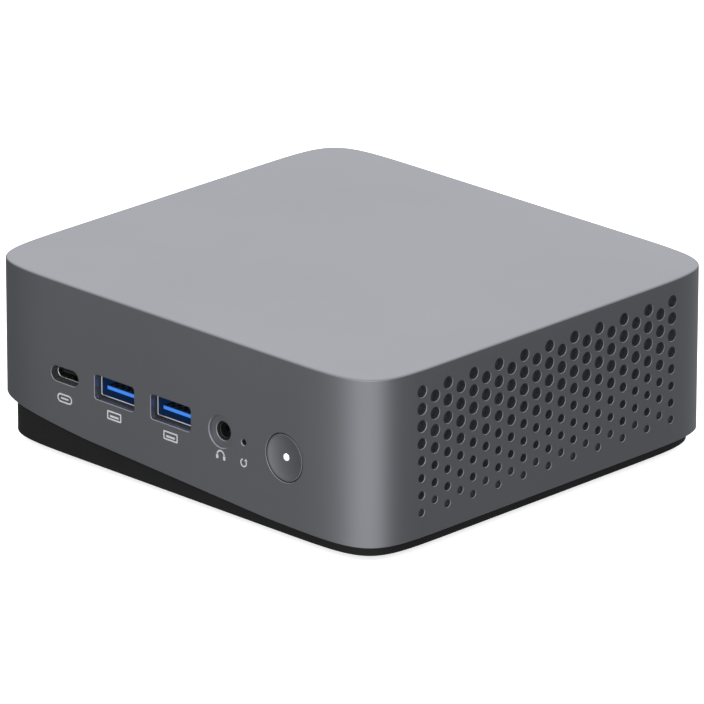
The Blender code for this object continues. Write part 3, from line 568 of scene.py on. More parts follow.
def shade_dimples(obj):
    """The floors of the blind dimples, and their walls, get the darker copy of the metal, as painted shade.
    """
    edge = 0.3 * VENT_CHAMFER
    dimples = [(y, z, radius) for y, z, radius, blind in vents("right") if blind]
    for face in obj.data.polygons:
        middle = face.center / MM
        depth = HALF_X - crown(middle.y, HALF_Y, HALF_X) - middle.x
        if not VENT_CHAMFER + edge < depth < DIMPLE_DEPTH + edge:
            continue
        if any(hypot(middle.y - y, middle.z - z) < radius + edge for y, z, radius in dimples):
            face.material_index = 1


def port_places():
    """(side, centre, growing outline) of each opening for a receptacle with a gasket."""
    usb_a, hdmi = growing_box(*USB_A_OPENING), growing_box(*HDMI_OPENING)
    below_receptacle = Vector((0.0, 0.0, -0.15))
    places = [("front", centre_mm("usb_c_shell"), growing_stadium(*USB_C_OPENING))]
    for side, prefix in (("front", "usb_a"), ("rear", "rear_usb")):
        for end in ("left", "right"):
            places.append((side, centre_mm(f"{prefix}_{end}_shell") + below_receptacle, usb_a))
    places += [("rear", centre_mm(f"hdmi_{end}_shell"), hdmi) for end in ("left", "right")]
    return places


def cut_ports(shape):
    places = port_places()
    places += [("rear", centre_mm("ethernet_jack"), growing_box(*NETWORK_OPENING)),
               ("rear", centre_mm("dc_inlet"), growing_circle(INLET_HOLE, 32))]
    middle = centre_mm("fan_rotor").x
    slot = growing_stadium(*GRILLE_SLOT, 6)
    for offset in row(GRILLE_SLOTS, GRILLE_PITCH):
        places.append(("rear", (middle + offset, 0.0, GRILLE_HEIGHT), slot))
    for side, at, outline in places:
        plug(shape, side, at, flared(outline, PORT_BEVEL, CUT_DEPTH))


def cut_controls(shape):
    """The audio recess with its bore, the reset pinhole and the power button's hole."""
    outer, bore, bevel, rim, floor_depth = 4.05, 2.40, 0.22, 0.17, 0.95
    profile = [(outer + bevel + 3.0, -3.0), (outer + bevel, 0.0), (outer, bevel), (outer, floor_depth),
               (bore + rim, floor_depth), (bore, floor_depth + rim), (bore, CUT_DEPTH)]
    round_plug(shape, "front", (centre_mm("audio_jack").x, 0.0, AUDIO_HEIGHT), profile, 48)
    reset_hole, button_hole = growing_circle(RESET_HOLE, 24), growing_circle(BUTTON_HOLE, 72)
    plug(shape, "front", centre_mm("reset_plunger"), flared(reset_hole, 0.2, CUT_DEPTH))
    plug(shape, "front", centre_mm("power_button"), flared(button_hole, 0.12, CUT_DEPTH))


def upright(shape, centres, radius, low, high, sides=20):
    for x, y in centres:
        loft(shape, [[(x + u, y + v, z) for u, v in circle(radius, sides)] for z in (low, high)])


def corner_places(prefix):
    """(x, y) of the four pieces of one kind."""
    centres = [centre_mm(f"{prefix}_{end}") for end in ENDS]
    return [(at.x, at.y) for at in centres]


def case_shell():
    outline = Outline(HALF_X, HALF_Y)
    rings = [outline.ring(TOP_EDGE + 1.0, TOP)]
    rings += [outline.ring(inset, TOP - drop) for inset, drop in quarter(TOP_EDGE)]
    rings += [outline.ring(0.0, lambda x: lip_height(x) + LIP_EDGE),
              outline.ring(LIP_EDGE, lip_height),
              outline.ring(WALL - LIP_EDGE, lip_height),
              outline.ring(WALL, lambda x: lip_height(x) + LIP_EDGE),
              outline.ring(WALL, TOP - WALL - 0.6),
              outline.ring(WALL + 0.6, TOP - WALL)]
    shape = bmesh.new()
    loft(shape, rings)
    obj = new_object("case_shell", shape)

    bosses = bmesh.new()
    inside_top = TOP - 0.5 * WALL
    case_screws, board_screws = corner_places("case_screw"), corner_places("board_screw")
    upright(bosses, case_screws, 3.5, 6.5, inside_top)
    upright(bosses, board_screws, 3.0, 20.2, inside_top)
    jack = (centre_mm("audio_jack").x, 0.0, AUDIO_HEIGHT)
    round_plug(bosses, "front", jack, [(5.4, 0.8), (5.4, 2.8)], 32)
    apply_boolean(obj, "UNION", bosses)

    openings = bmesh.new()
    cut_vents(openings)
    cut_ports(openings)
    cut_controls(openings)
    upright(openings, case_screws, 1.7, 0.0, 15.0)
    upright(openings, board_screws, 1.7, 15.0, 28.0)
    apply_boolean(obj, "DIFFERENCE", openings)
    use_only(obj, ANODISED, PAINTED_SHADE_METAL)
    shade_dimples(obj)
    smooth(obj)
    piece(obj, "chassis", "anodised_shell", "shell")


def base_cover():
    """A tray with screw pads, and below it the recesses of screws and feet, and nine rows of slots."""
    outline = Outline(BASE_HIGH.x, BASE_HIGH.y)
    low, high = BASE_LOW.z, BASE_HIGH.z
    rings = [outline.ring(BASE_WALL + 1.0, low + BASE_WALL), outline.ring(BASE_WALL, low + BASE_WALL + 1.0),
             outline.ring(BASE_WALL, high), outline.ring(0.0, high), outline.ring(0.0, low + BASE_EDGE)]
    rings += [outline.ring(inset, low + drop) for inset, drop in quarter(BASE_EDGE)[::-1]]
    rings += [outline.ring(BASE_EDGE + 1.0, low)]
    shape = bmesh.new()
    loft(shape, rings)
    obj = new_object("base_tray", shape)

    screws = corner_places("case_screw")
    pads = bmesh.new()
    upright(pads, screws, 4.3, low + 0.5 * BASE_WALL, 6.2, 32)
    apply_boolean(obj, "UNION", pads)

    recesses = bmesh.new()
    screw_recess = [(5.4, -2.0), (3.4, 0.0), (3.1, 0.3), (3.1, 2.7), (1.7, 2.7), (1.7, 8.0)]
    for x, y in screws:
        round_plug(recesses, "under", (x, y, low), screw_recess, 32)
    for x, y in corner_places("foot"):
        plug(recesses, "under", (x, y, low), flared(growing_circle(6.3, 40), 0.15, 0.8))
    slot = flared(growing_stadium(*BASE_SLOT, 6), 0.2, 4.0)
    for y in row(BASE_SLOT_ROWS, BASE_SLOT_PITCH):
        for x in (-BASE_SLOT_X, BASE_SLOT_X):
            plug(recesses, "under", (x, y, low), slot)
    apply_boolean(obj, "DIFFERENCE", recesses)
    use_only(obj, BASE_PLASTIC)
    smooth(obj)
    piece(obj, "chassis", "base_black", "base_cover")


# Receptacles

def usb_a(prefix, side):
    """Shell with four leaf springs, and a tongue with contacts on a near-black plate, which is painted shade
    over the tongue's top.
    """
    centre = centre_mm(prefix + "_shell")
    width, height, wall, face, depth = 13.1, 5.7, 0.35, PORT_FACE, 14.0

    def outline(grow):
        return rounded(width + 2 * grow, height + 2 * grow, max(0.6 + grow, 0.12))

    shell = Form(prefix + "_receptacle", PORT_STEEL, BLUE_REFLECTION_LINING)
    # The inside of the shell and its springs get the painted shade and blue reflection
    shell.cup(side, centre, outline, wall, face, depth, inside=1)
    inside, spring_steps = 0.5 * height - wall, 6
    for direction in (-1, 1):
        for u in (-3.3, 3.3):
            for step in range(spring_steps):
                near = face + 3.0 + step * 0.9
                bow = 0.45 * sin(pi * (step + 0.5) / spring_steps)
                rise = sorted((direction * (inside - bow), direction * (inside - bow - 0.22)))
                shell.slab(side, centre, (u - 1.0, u + 1.0), rise, (near, near + 0.95), 1, 0.03)
    shell.done("port_steel", prefix + "_shell")

    tongue = Form(prefix + "_insert", BLUE, PORT_DARK, GOLD, BLUE_PAINTED_SHADE)
    start, back = face + 1.1, face + depth - 0.9
    # The body in the darker blue of painted shade, and the front in the lit blue with its painted glow
    tongue.slab(side, centre, (-5.5, 5.5), (-1.42, -0.30), (start + 0.12, back), 3, 0.1)
    tongue.slab(side, centre, (-5.42, 5.42), (-1.20, -0.36), (start, start + 0.25), 0, 0.06)
    # A near-black plate over the tongue's top and a near-black block at its back: painted shade
    tongue.slab(side, centre, (-5.3, 5.3), (-0.30, -0.22), (start + 0.5, back), 1, 0.02)
    tongue.slab(side, centre, (-5.9, 5.9), (-2.1, 2.1), (back - 2.4, back), 1, 0.1)
    tongue.contacts(side, centre, row(4, 2.3), 0.5, [(-0.22, -0.16)], (start + 2.2, back - 2.5), 2)
    tongue.contacts(side, centre, row(5, 2.0), 0.3, [(-0.22, -0.17)], (start + 0.7, start + 1.8), 2)
    tongue.done("blue_insert", prefix + "_tongue")


def usb_c():
    centre = centre_mm("usb_c_shell")
    face, depth = PORT_FACE, 7.4
    shell = Form("usb_c_receptacle", PORT_STEEL)
    shell.cup("front", centre, growing_stadium(8.94, 3.2), 0.25, face, depth, lip=0.1)
    shell.done("port_steel", "usb_c_shell")
    tongue = Form("usb_c_insert", PORT_DARK, GOLD)
    start, back = face + 0.8, face + depth - 0.8
    tongue.slab("front", centre, (-3.3, 3.3), (-0.35, 0.35), (start, back), 0, 0.12)
    tongue.extrude("front", centre, [(stadium(8.0, 2.5), back - 2.2), (stadium(8.0, 2.5), back)])
    rises = [(0.35, 0.39), (-0.39, -0.35)]
    tongue.contacts("front", centre, row(12, 0.5), 0.13, rises, (start + 0.6, back - 2.3), 1)
    tongue.done("black_insert", "usb_c_tongue")


def hdmi(prefix):
    centre = centre_mm(prefix + "_shell")
    face, depth = PORT_FACE, 12.0

    def outline(grow):
        half, foot, top = 7.5 + grow, 6.0 + grow, 2.75 + grow
        return [(-half, top), (-half, -0.6), (-foot, -top), (foot, -top), (half, -0.6), (half, top)]

    shell = Form(prefix + "_receptacle", PORT_STEEL)
    shell.cup("rear", centre, outline, 0.3, face, depth)
    shell.done("port_steel", prefix + "_shell")
    tongue = Form(prefix + "_insert", PORT_DARK, GOLD)
    start, back = face + 1.5, face + depth - 0.9
    tongue.slab("rear", centre, (-5.1, 5.1), (-0.5, 0.7), (start, back), 0, 0.12)
    tongue.slab("rear", centre, (-5.4, 5.4), (-1.7, 1.7), (back - 2.4, back), 0, 0.1)
    rises = [(0.7, 0.75), (-0.55, -0.5)]
    tongue.contacts("rear", centre, row(10, 1.0), 0.23, rises, (start + 0.7, back - 2.5), 1)
    tongue.done("black_insert", prefix + "_tongue")


def network_outline(grow):
    """The plug's cavity with the latch's room above it, from the middle of the jack."""
    wide, narrow, low, step, high = 5.95 + grow, 3.2 + grow, -3.75 - grow, 3.25 + grow, 5.05 + grow
    return [(-wide, low), (wide, low), (wide, step), (narrow, step), (narrow, high), (-narrow, high),
            (-narrow, step), (-wide, step)]


def network_jack():
    """A metal can with a black lining, eight spring contacts and two indicator windows."""
    low, high, centre = extent("ethernet_jack")
    half_width, half_height = 0.5 * (high.x - low.x), 0.5 * (high.z - low.z)
    face, depth = PORT_FACE, high.y - low.y
    can = Form("network_can", PORT_STEEL)
    can.slab("rear", centre, (-half_width, half_width), (-half_height, half_height), (face, face + depth), 0,
             0.2)
    shape = can.done("port_steel", "ethernet_jack")
    drill(shape, "rear", centre, [(network_outline(0.55), -1.0), (network_outline(0.55), face + 15.0)])
    use_only(shape, PORT_STEEL)

    lining = Form("network_lining", PORT_DARK, GOLD, PRINT)
    steps = ((0.5, 14.6), (0.5, 0.12), (0.05, 0.05), (0.0, 0.3), (0.0, 13.8))
    lining.extrude("rear", centre, [(network_outline(grow), face + behind) for grow, behind in steps])
    for u in row(8, 1.02):
        for step in range(7):
            rise, near = -3.3 + 0.42 * step, face + 4.2 + 1.25 * step
            lining.slab("rear", centre, (u - 0.22, u + 0.22), (rise, rise + 0.5), (near, near + 1.35), 1,
                        0.02)
    for u in (-5.6, 5.6):
        lining.slab("rear", centre, (u - 1.1, u + 1.1), (4.2, 5.7), (face - 0.12, face + 1.2), 2, 0.1)
    lining.done("black_insert")


def power_inlet():
    low, high, centre = extent("dc_inlet")
    face, half = PORT_FACE, 0.5 * (high.x - low.x)
    body = Form("power_inlet", BLACK_PLASTIC)
    body.slab("rear", centre, (-half, half), (-5.5, 5.5), (face + 0.9, face + 14.0), 0, 0.4)
    shape = body.done("black_insert", "dc_inlet")
    drill(shape, "rear", centre, [(circle(3.1, 40), -1.0), (circle(3.1, 40), face + 11.0)])
    collar = Form("power_inlet_sleeve", BLACK_PLASTIC, PORT_STEEL)
    collar.turn("rear", centre, [(3.9, face + 0.95), (3.9, face + 0.15), (3.75, face), (3.05, face),
                                 (2.92, face + 0.2), (2.92, face + 0.95)], 0, 48, True)
    collar.turn("rear", centre, [(3.04, face + 1.6), (2.94, face + 1.6), (2.94, face + 10.6),
                                 (3.04, face + 10.6)], 1, 48, True)
    collar.done("black_insert")
    pin = Form("power_inlet_pin", PORT_STEEL)
    near = HALF_Y - box_mm("dc_inlet_pin")[1].y
    pin.turn("rear", centre, [(0.35, near), (0.7, near + 0.14), (0.98, near + 0.5), (1.08, near + 0.9),
                              (1.08, near + 8.0)], 0, 32)
    pin.done("steel", "dc_inlet_pin")


def audio_socket():
    """Body, black nose that rings the bore's mouth, and sprung contacts that glint inside the bore."""
    low, high, centre = extent("audio_jack")
    at = (centre.x, 0.0, AUDIO_HEIGHT)
    face = HALF_Y + low.y + SKIN
    rise = (low.z - AUDIO_HEIGHT, high.z - AUDIO_HEIGHT)
    body = Form("audio_body", BLACK_PLASTIC)
    body.slab("front", at, (-3.2, 3.2), rise, (face + 1.5, face + 12.9), 0, 0.3)
    shape = body.done("black_insert", "audio_jack")
    drill(shape, "front", at, [(circle(1.85, 32), -1.0), (circle(1.85, 32), face + 12.0)])
    nose = Form("audio_nose", BLACK_PLASTIC, PORT_STEEL, PORT_DARK)
    nose.turn("front", at, [(2.25, face + 1.5), (2.25, face + 0.2), (2.05, face), (1.95, face),
                            (1.84, face + 0.12), (1.84, face + 1.5)], 0, 48, True)
    bore = [(1.84, face + 1.5), (1.6, face + 1.5), (1.6, face + 9.5), (1.84, face + 9.5)]
    nose.turn("front", at, bore, 2, 32, True)
    springs, half = 5, 0.16
    for turn in range(springs):
        angle = 2 * pi * (turn + 0.2) / springs
        u, v = 1.42 * cos(angle), 1.42 * sin(angle)
        nose.slab("front", at, (u - half, u + half), (v - half, v + half), (face + 2.2, face + 5.0), 1, 0.06)
    nose.done("black_insert")


def reset_control():
    low, _, centre = extent("reset_plunger")
    near = HALF_Y + low.y + SKIN
    plunger = Form("reset_pin", DARK_STEEL)
    profile = [(0.5, near), (0.8, near + 0.1), (0.93, near + 0.3), (0.93, near + 2.25)]
    plunger.turn("front", centre, profile, 0, 28)
    plunger.done("dark_steel", "reset_plunger", body="reset_plunger")


def power_control():
    """The cap with its dished face and eased rim, and the diffuser at its middle."""
    centre = centre_mm("power_button")
    bore, dish_radius, deepest, rim, steps = 1.0, 5.62, 0.69, 0.07, 14
    profile = []
    for step in range(steps + 1):
        share = step / steps
        profile.append((bore + (dish_radius - bore) * share, deepest - (deepest - rim) * share ** 2))
    profile += [(5.82, 0.06), (5.95, 0.11), (6.02, 0.24), (6.02, 1.95), (7.0, 1.95), (7.0, 2.75), (1.8, 2.75),
                (1.8, 5.5), (bore, 5.5)]
    cap = Form("power_cap", ANODISED)
    cap.turn("front", centre, profile, 0, 96, True)
    cap.done("anodised_shell", "power_button", body="power_button")
    light = Form("power_diffuser", LIT)
    dome = [(0.30, 0.62), (0.53, 0.64), (0.72, 0.70), (0.80, 0.82), (0.80, 5.45)]
    light.turn("front", centre, dome, 0, 40)
    light.done("light", "power_light_pipe", body="power_button")


def port_frames():
    """Gaskets that close the gap between each receptacle and the case's opening."""
    frames = Form("port_gaskets", GASKET)
    near, far = WALL + 0.02, PORT_FACE + 0.9
    for side, at, outline in port_places():
        outer, inner = outline(0.9), outline(-0.35)
        frames.extrude(side, at, [(outer, far), (outer, near), (inner, near), (inner, far)], closed=True)
    frames.done("anodised_shell")


def vent_filters():
    """Fine mesh behind the vents of each side, seen through the holes."""
    half_along = VENT_COLUMNS * VENT_PITCH_Y + 2.6
    first = SHELL_HIGH.z - VENT_FIRST[0]
    rise = (max(first - 7.0 * VENT_PITCH_Z - 2.0, BASE_HIGH.z + 0.4), first + 2.4)
    depths = (WALL + 0.06, WALL + 0.42)
    filters = Form("vent_filter", FILTER)
    for side in ("left", "right"):
        filters.slab(side, (0.0, 0.0, 0.0), (-half_along, half_along), rise, depths, 0, 0.05)
    filters.done("base_black")


# Printed signs: plain pictures of what goes in each opening, with no letters


class Print:
    """Thin raised paint on the front face, about a place along it."""

    def __init__(self, name, x):
        fall = crown(x, HALF_X, HALF_Y)
        self.form = Form(name, PRINT)
        self.at = (x, 0.0, PRINT_HEIGHT)
        self.near, self.far = fall - 0.02, fall + 0.03

    def enlarge(self, points):
        return [(x * SIGN_SCALE, y * SIGN_SCALE) for x, y in points]

    def fill(self, points):
        grown = self.enlarge(points)
        self.form.extrude("front", self.at, [(grown, self.near), (grown, self.far)])

    def ring(self, outer, inner):
        outer, inner = self.enlarge(outer), self.enlarge(inner)
        stations = [(outer, self.far), (outer, self.near), (inner, self.near), (inner, self.far)]
        self.form.extrude("front", self.at, stations, closed=True)

    def stroke(self, points, width):
        """A line of even width along points."""
        left, right = [], []
        for index, (x, y) in enumerate(points):
            before, after = points[max(index - 1, 0)], points[min(index + 1, len(points) - 1)]
            along = Vector((after[0] - before[0], after[1] - before[1])).normalized()
            left.append((x - along.y * width / 2, y + along.x * width / 2))
            right.append((x + along.y * width / 2, y - along.x * width / 2))
        self.fill(right + left[::-1])

    def done(self):
        self.form.done("light")


def box_outline(x0, x1, y0, y1):
    return [(x0, y0), (x1, y0), (x1, y1), (x0, y1)]


def arc(radius, start, end, steps=20, middle=(0.0, 0.0)):
    angles = [radians(start + (end - start) * step / steps) for step in range(steps + 1)]
    return [(middle[0] + radius * cos(angle), middle[1] + radius * sin(angle)) for angle in angles]


def signs():
    sign = Print("sign_small_port", centre_mm("usb_c_shell").x)
    sign.ring(stadium(4.0, 1.8), stadium(3.4, 1.2))
    sign.fill(box_outline(-1.0, 1.0, -0.16, 0.16))
    sign.done()
    for side in ("left", "right"):
        sign = Print(f"sign_port_{side}", centre_mm(f"usb_a_{side}_shell").x)
        sign.ring(rounded(3.8, 1.8, 0.28), rounded(3.2, 1.2, 0.08))
        sign.fill(box_outline(-1.15, 1.15, -0.34, 0.06))
        sign.done()
    headband, open_ring = 0.92, 0.72
    sign = Print("sign_headphones", centre_mm("audio_jack").x)
    sign.stroke(arc(headband, 0, 180, middle=(0.0, -0.15)), 0.30)
    for x in (-headband, headband):
        sign.fill([(x + u, v - 0.50) for u, v in rounded(0.60, 0.85, 0.2)])
    sign.done()
    sign = Print("sign_reset", centre_mm("reset_plunger").x)
    sign.stroke(arc(open_ring, 110, 390), 0.28)
    tip = radians(38)
    x, y = open_ring * cos(tip), open_ring * sin(tip)
    sign.fill([(x - 0.42, y - 0.02), (x + 0.42, y - 0.02), (x + 0.06, y + 0.50)])
    sign.done()


# Feet and screws

def feet():
    for end in ENDS:
        low, high, centre = extent("foot_" + end)
        radius = 0.5 * (high.x - low.x)
        foot = Form("foot_pad_" + end, RUBBER)
        profile = [(1.0, 0.0), (radius - 2.2, 0.0), (radius - 2.0, 0.12), (radius - 1.7, 0.12),
                   (radius - 1.5, 0.0), (radius - 0.45, 0.0), (radius - 0.12, 0.13), (radius, 0.42),
                   (radius, high.z - low.z)]
        foot.turn("under", (centre.x, centre.y, low.z), profile, 0, 48)
        foot.done("rubber", "foot_" + end)


def screw_shape(name, material, head_radius, head_height, radius, length):
    """Pan head, and a threaded shank with a short taper that points up from it, at the origin."""
    form = Form(name, material)
    head = [(head_radius * 0.55, 0.0), (head_radius * 0.85, 0.16), (head_radius, 0.6),
            (head_radius, head_height), (radius, head_height)]
    form.turn("under", (0.0, 0.0, 0.0), head, 0, 32)
    sides, pitch, groove, taper = 20, 0.5, 0.22, 0.4
    count = int((length - taper) / pitch * 4)
    rings = []
    for step in range(count + 1):
        z = head_height + (length - taper) * step / count
        ring = []
        for side in range(sides):
            angle = 2 * pi * side / sides
            phase = (z / pitch + side / sides) % 1.0
            reach = radius - groove * (1.0 - abs(2.0 * phase - 1.0))
            ring.append((reach * cos(angle), reach * sin(angle), z))
        rings.append(ring)
    rings.append([(x, y, head_height + length) for x, y in circle(0.6 * radius, sides)])
    form.loft(rings)
    return form


def cross_recess(depth, reach, width):
    shape = bmesh.new()
    for turn in (0.0, 90.0):
        made = bmesh.ops.create_cube(shape, size=1.0)["verts"]
        bmesh.ops.scale(shape, vec=(2 * reach * MM, width * MM, 2 * depth * MM), verts=made)
        bmesh.ops.rotate(shape, verts=made, matrix=Matrix.Rotation(radians(turn), 3, "Z"))
    return shape


def screws():
    places = [(f"case_screw_{end}", DARK_STEEL, "dark_steel") for end in ENDS]
    places += [(f"board_screw_{end}", STEEL, "steel") for end in ENDS]
    places += [("ssd_screw", STEEL, "steel"), ("wifi_screw", STEEL, "steel")]
    head_height = 1.6
    for node, material, slot in places:
        low, high, centre = extent(node)
        form = screw_shape(node + "_fine", material, 0.5 * (high.x - low.x), head_height, SCREW_SHANK,
                           high.z - low.z - head_height)
        obj = form.done(slot, node)
        apply_boolean(obj, "DIFFERENCE", cross_recess(0.9, 1.5, 0.55))
        for vertex in obj.data.vertices:
            vertex.co += Vector((centre.x, centre.y, low.z)) * MM
        smooth(obj)


# Inside

def repaint(material, *nodes):
    """Gives CAD nodes that stay as they are a material of their own."""
    for node in nodes:
        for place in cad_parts[node].material_slots:
            place.material = material


def overlaps(first, second, margin):
    """Whether two rectangles (x0, y0, x1, y1) come closer than the margin."""
    return (first[0] < second[2] + margin and second[0] < first[2] + margin
            and first[1] < second[3] + margin and second[1] < first[3] + margin)


def taken(low_z, high_z):
    """Rectangles of the board that other pieces stand over, between two heights."""
    found = []
    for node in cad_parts:
        low, high = box_mm(node)
        if node in ("shell", "base_cover", "mainboard") or low.z > high_z or high.z < low_z:
            continue
        found.append((low.x, low.y, high.x, high.y))
    for prefix, half_x, half_y in (("board_screw", 4.0, 4.0), ("case_screw", 6.0, 6.5)):
        found += [(x - half_x, y - half_y, x + half_x, y + half_y) for x, y in corner_places(prefix)]
    return found


def component(form, x, y, size, base, up):
    """One small part on the board. A wide one is a chip with legs, any other has tinned ends."""
    width, depth, height = size
    low_z, high_z = sorted((base, base + up * height))
    if width >= CHIP_WIDTH:
        form.block(x, y, (width, depth), (low_z, high_z), 0, 0.1)
        count = int(width / LEG_PITCH)
        for index in range(count):
            u = x - 0.5 * LEG_PITCH * (count - 1) + LEG_PITCH * index
            for direction in (-1, 1):
                v = y + direction * (depth / 2 + 0.2)
                form.block(u, v, (0.28, 0.5), (base, base + up * 0.25), 2)
        return
    end = 0.28 * width
    form.box((x - width / 2 + end, y - depth / 2, low_z), (x + width / 2 - end, y + depth / 2, high_z), 1)
    for direction in (-1, 1):
        near, far = sorted((x + direction * (width / 2 - end), x + direction * width / 2))
        form.box((near, y - depth / 2, low_z), (far, y + depth / 2, high_z), 2)


def scatter(form, seed, count, base, up, blocked, sizes):
    """Components at seeded places that keep clear of everything else on that side."""
    border, gap, leg_room, tries = 3.0, 0.5, 0.8, 12
    chance = random.Random(seed)
    placed = list(blocked)
    low, high = box_mm("mainboard")
    made = 0
    for _ in range(count * tries):
        size = chance.choice(sizes)
        width, depth = size[0], size[1] + (leg_room if size[0] >= CHIP_WIDTH else 0.0)
        x = chance.uniform(low.x + border, high.x - border)
        y = chance.uniform(low.y + border, high.y - border)
        area = (x - width / 2, y - depth / 2, x + width / 2, y + depth / 2)
        if any(overlaps(area, other, gap) for other in placed):
            continue
        placed.append(area)
        component(form, x, y, size, base, up)
        made += 1
        if made == count:
            return


def mainboard():
    repaint(BOARD, "mainboard")
    low, high = box_mm("mainboard")
    small, medium = (1.0, 0.5, 0.4), (2.0, 1.2, 0.8)
    chips = ((4.0, 4.0, 0.9), (6.4, 5.0, 1.1), (8.0, 8.0, 1.2))
    choke_x, choke_length, choke_half, choke_height = 47.9, 6.4, 3.2, 3.2
    choke_rows = [-12.0 + 8.6 * index for index in range(4)]
    choke_areas = [(choke_x, y - choke_half, choke_x + choke_length, y + choke_half) for y in choke_rows]
    top = Form("board_parts_top", CHIP, CERAMIC, STEEL)
    blocked = taken(high.z, high.z + choke_height) + choke_areas
    scatter(top, 4, 170, high.z, 1.0, blocked, (small, medium, small, medium, *chips))
    top.done("black_insert")
    under = Form("board_parts_under", CHIP, CERAMIC, STEEL)
    scatter(under, 9, 90, low.z, -1.0, taken(low.z - 1.4, low.z), (small, medium, chips[0]))
    under.done("black_insert")
    chokes = Form("board_chokes", CHIP)
    for x_low, y_low, x_high, y_high in choke_areas:
        chokes.box((x_low, y_low, high.z), (x_high, y_high, high.z + choke_height), 0, 0.4)
    chokes.done("black_insert")


def processor():
    """A green package with the bare die on it and two columns of capacitors on each side of that."""
    low, high = box_mm("processor")
    package_top, part_top = low.z + 1.2, low.z + 1.6
    (die_x0, die_y0), (die_x1, die_y1) = (21.0, -1.0), (35.0, 13.0)
    form = Form("processor_package", BOARD, SILICON, CERAMIC)
    form.box(low, (high.x, high.y, package_top), 0, 0.12)
    form.box((die_x0, die_y0, package_top), (die_x1, die_y1, high.z), 1, 0.06)
    for index in range(12):
        y = low.y + 3.0 + 2.0 * index
        for x in (low.x + 2.2, low.x + 4.4, high.x - 4.4, high.x - 2.2):
            form.block(x, y, (1.0, 0.6), (package_top, part_top), 2)
    form.done("silicon", "processor")


def sweep(form, points, radius, material=0, sides=16):
    """A round pipe along points."""
    path = [Vector(point) for point in points]
    rings = []
    normal = Vector((0.0, 0.0, 1.0))
    for index, here in enumerate(path):
        along = (path[min(index + 1, len(path) - 1)] - path[max(index - 1, 0)]).normalized()
        normal = (normal - along * normal.dot(along)).normalized()
        across = along.cross(normal)
        rings.append([here + across * u + normal * v for u, v in circle(radius, sides)])
    form.loft(rings, material)


def between(share, before, start, end, after):
    """One coordinate of a Catmull-Rom curve, at a share of the way from start to end."""
    slope = end - before
    bend = 2 * before - 5 * start + 4 * end - after
    twist = 3 * start - before - 3 * end + after
    return 0.5 * (2 * start + slope * share + bend * share ** 2 + twist * share ** 3)


def curve_through(points, per_span=6):
    """Points along a smooth curve through the given ones."""
    padded = [points[0]] + list(points) + [points[-1]]
    route = []
    for spans in zip(padded, padded[1:], padded[2:], padded[3:]):
        for step in range(per_span):
            route.append(tuple(between(step / per_span, *values) for values in zip(*spans)))
    return route + [tuple(points[-1])]


def heat_pipe():
    """The route is the CAD pipe's: two straight runs joined by a quarter circle."""
    height = centre_mm("heat_pipe").z
    bend_x, bend_y, bend, radius = 12.0, 24.5, 12.0, 1.5
    turn = [(bend_x + bend * cos(angle), bend_y + bend * sin(angle))
            for angle in (pi / 2 * step / 16 for step in range(17))]
    route = [(24.0, -10.0), (24.0, 7.0)] + turn + [(-16.0, bend_y + bend), (-46.0, bend_y + bend)]
    form = Form("heat_pipe_round", COPPER)
    sweep(form, [(x, y, height) for x, y in route], radius, 0, 24)
    form.done("copper", "heat_pipe")


def heatsink():
    """Thin fins between a bottom and a top strip, on two legs."""
    low, high = box_mm("heatsink")
    base, fin_half, end_gap = 28.4, 0.16, 0.2
    form = Form("fin_stack", FINS)
    form.box((low.x, low.y, base), (high.x, high.y, base + 1.4), 0, 0.1)
    form.box((low.x, low.y, high.z - 0.6), (high.x, high.y, high.z), 0, 0.05)
    count = int((high.x - low.x) / 1.25)
    for index in range(count + 1):
        x = low.x + end_gap + (high.x - low.x - 2 * end_gap) * index / count
        form.box((x - fin_half, low.y, base + 1.3), (x + fin_half, high.y, high.z - 0.5))
    for x in (low.x + 4.0, high.x - 4.0):
        form.turn("under", (x, 42.0, low.z), [(1.8, 0.0), (1.8, base + 0.5 - low.z)], 0, 24)
    form.done("fin_aluminium", "heatsink")


def housing_outline(radius, rear, steps=48):
    """Round at the front and straight to the rear."""
    x, y = FAN_CENTRE
    angles = [pi * (1 + step / steps) for step in range(steps + 1)]
    front = [(x + radius * cos(angle), y + radius * sin(angle)) for angle in angles]
    return front + [(x + radius, rear), (x - radius, rear)]


def upright_plug(shape, outline, low, high):
    loft(shape, [[(x, y, z) for x, y in outline] for z in (low, high)])


def fan_housing():
    """A blower housing on four posts: round at the front, open at the rear, with an inlet on top."""
    low, high = box_mm("fan_frame")
    x, y = FAN_CENTRE
    radius, floor_z, wall, inlet = 0.5 * (high.x - low.x), 27.0, 1.4, 17.0
    form = Form("fan_housing", FAN_PLASTIC)
    upright_plug(form.shape, housing_outline(radius, high.y), floor_z, high.z)
    obj = form.done("black_insert", "fan_frame")
    posts = bmesh.new()
    places = [(x + dx, y + dy) for dx, dy in ((-22.0, -14.0), (22.0, -14.0), (-22.0, 30.0), (22.0, 30.0))]
    upright(posts, places, 2.2, low.z, floor_z + 0.6, 24)
    apply_boolean(obj, "UNION", posts)
    hollow = bmesh.new()
    upright_plug(hollow, housing_outline(radius - wall, high.y + 6.0), floor_z + 1.2, high.z - 1.0)
    apply_boolean(obj, "DIFFERENCE", hollow)
    intake = bmesh.new()
    upright(intake, [(x, y)], inlet, high.z - 3.0, high.z + 3.0, 64)
    apply_boolean(obj, "DIFFERENCE", intake)
    use_only(obj, FAN_PLASTIC)
    smooth(obj)


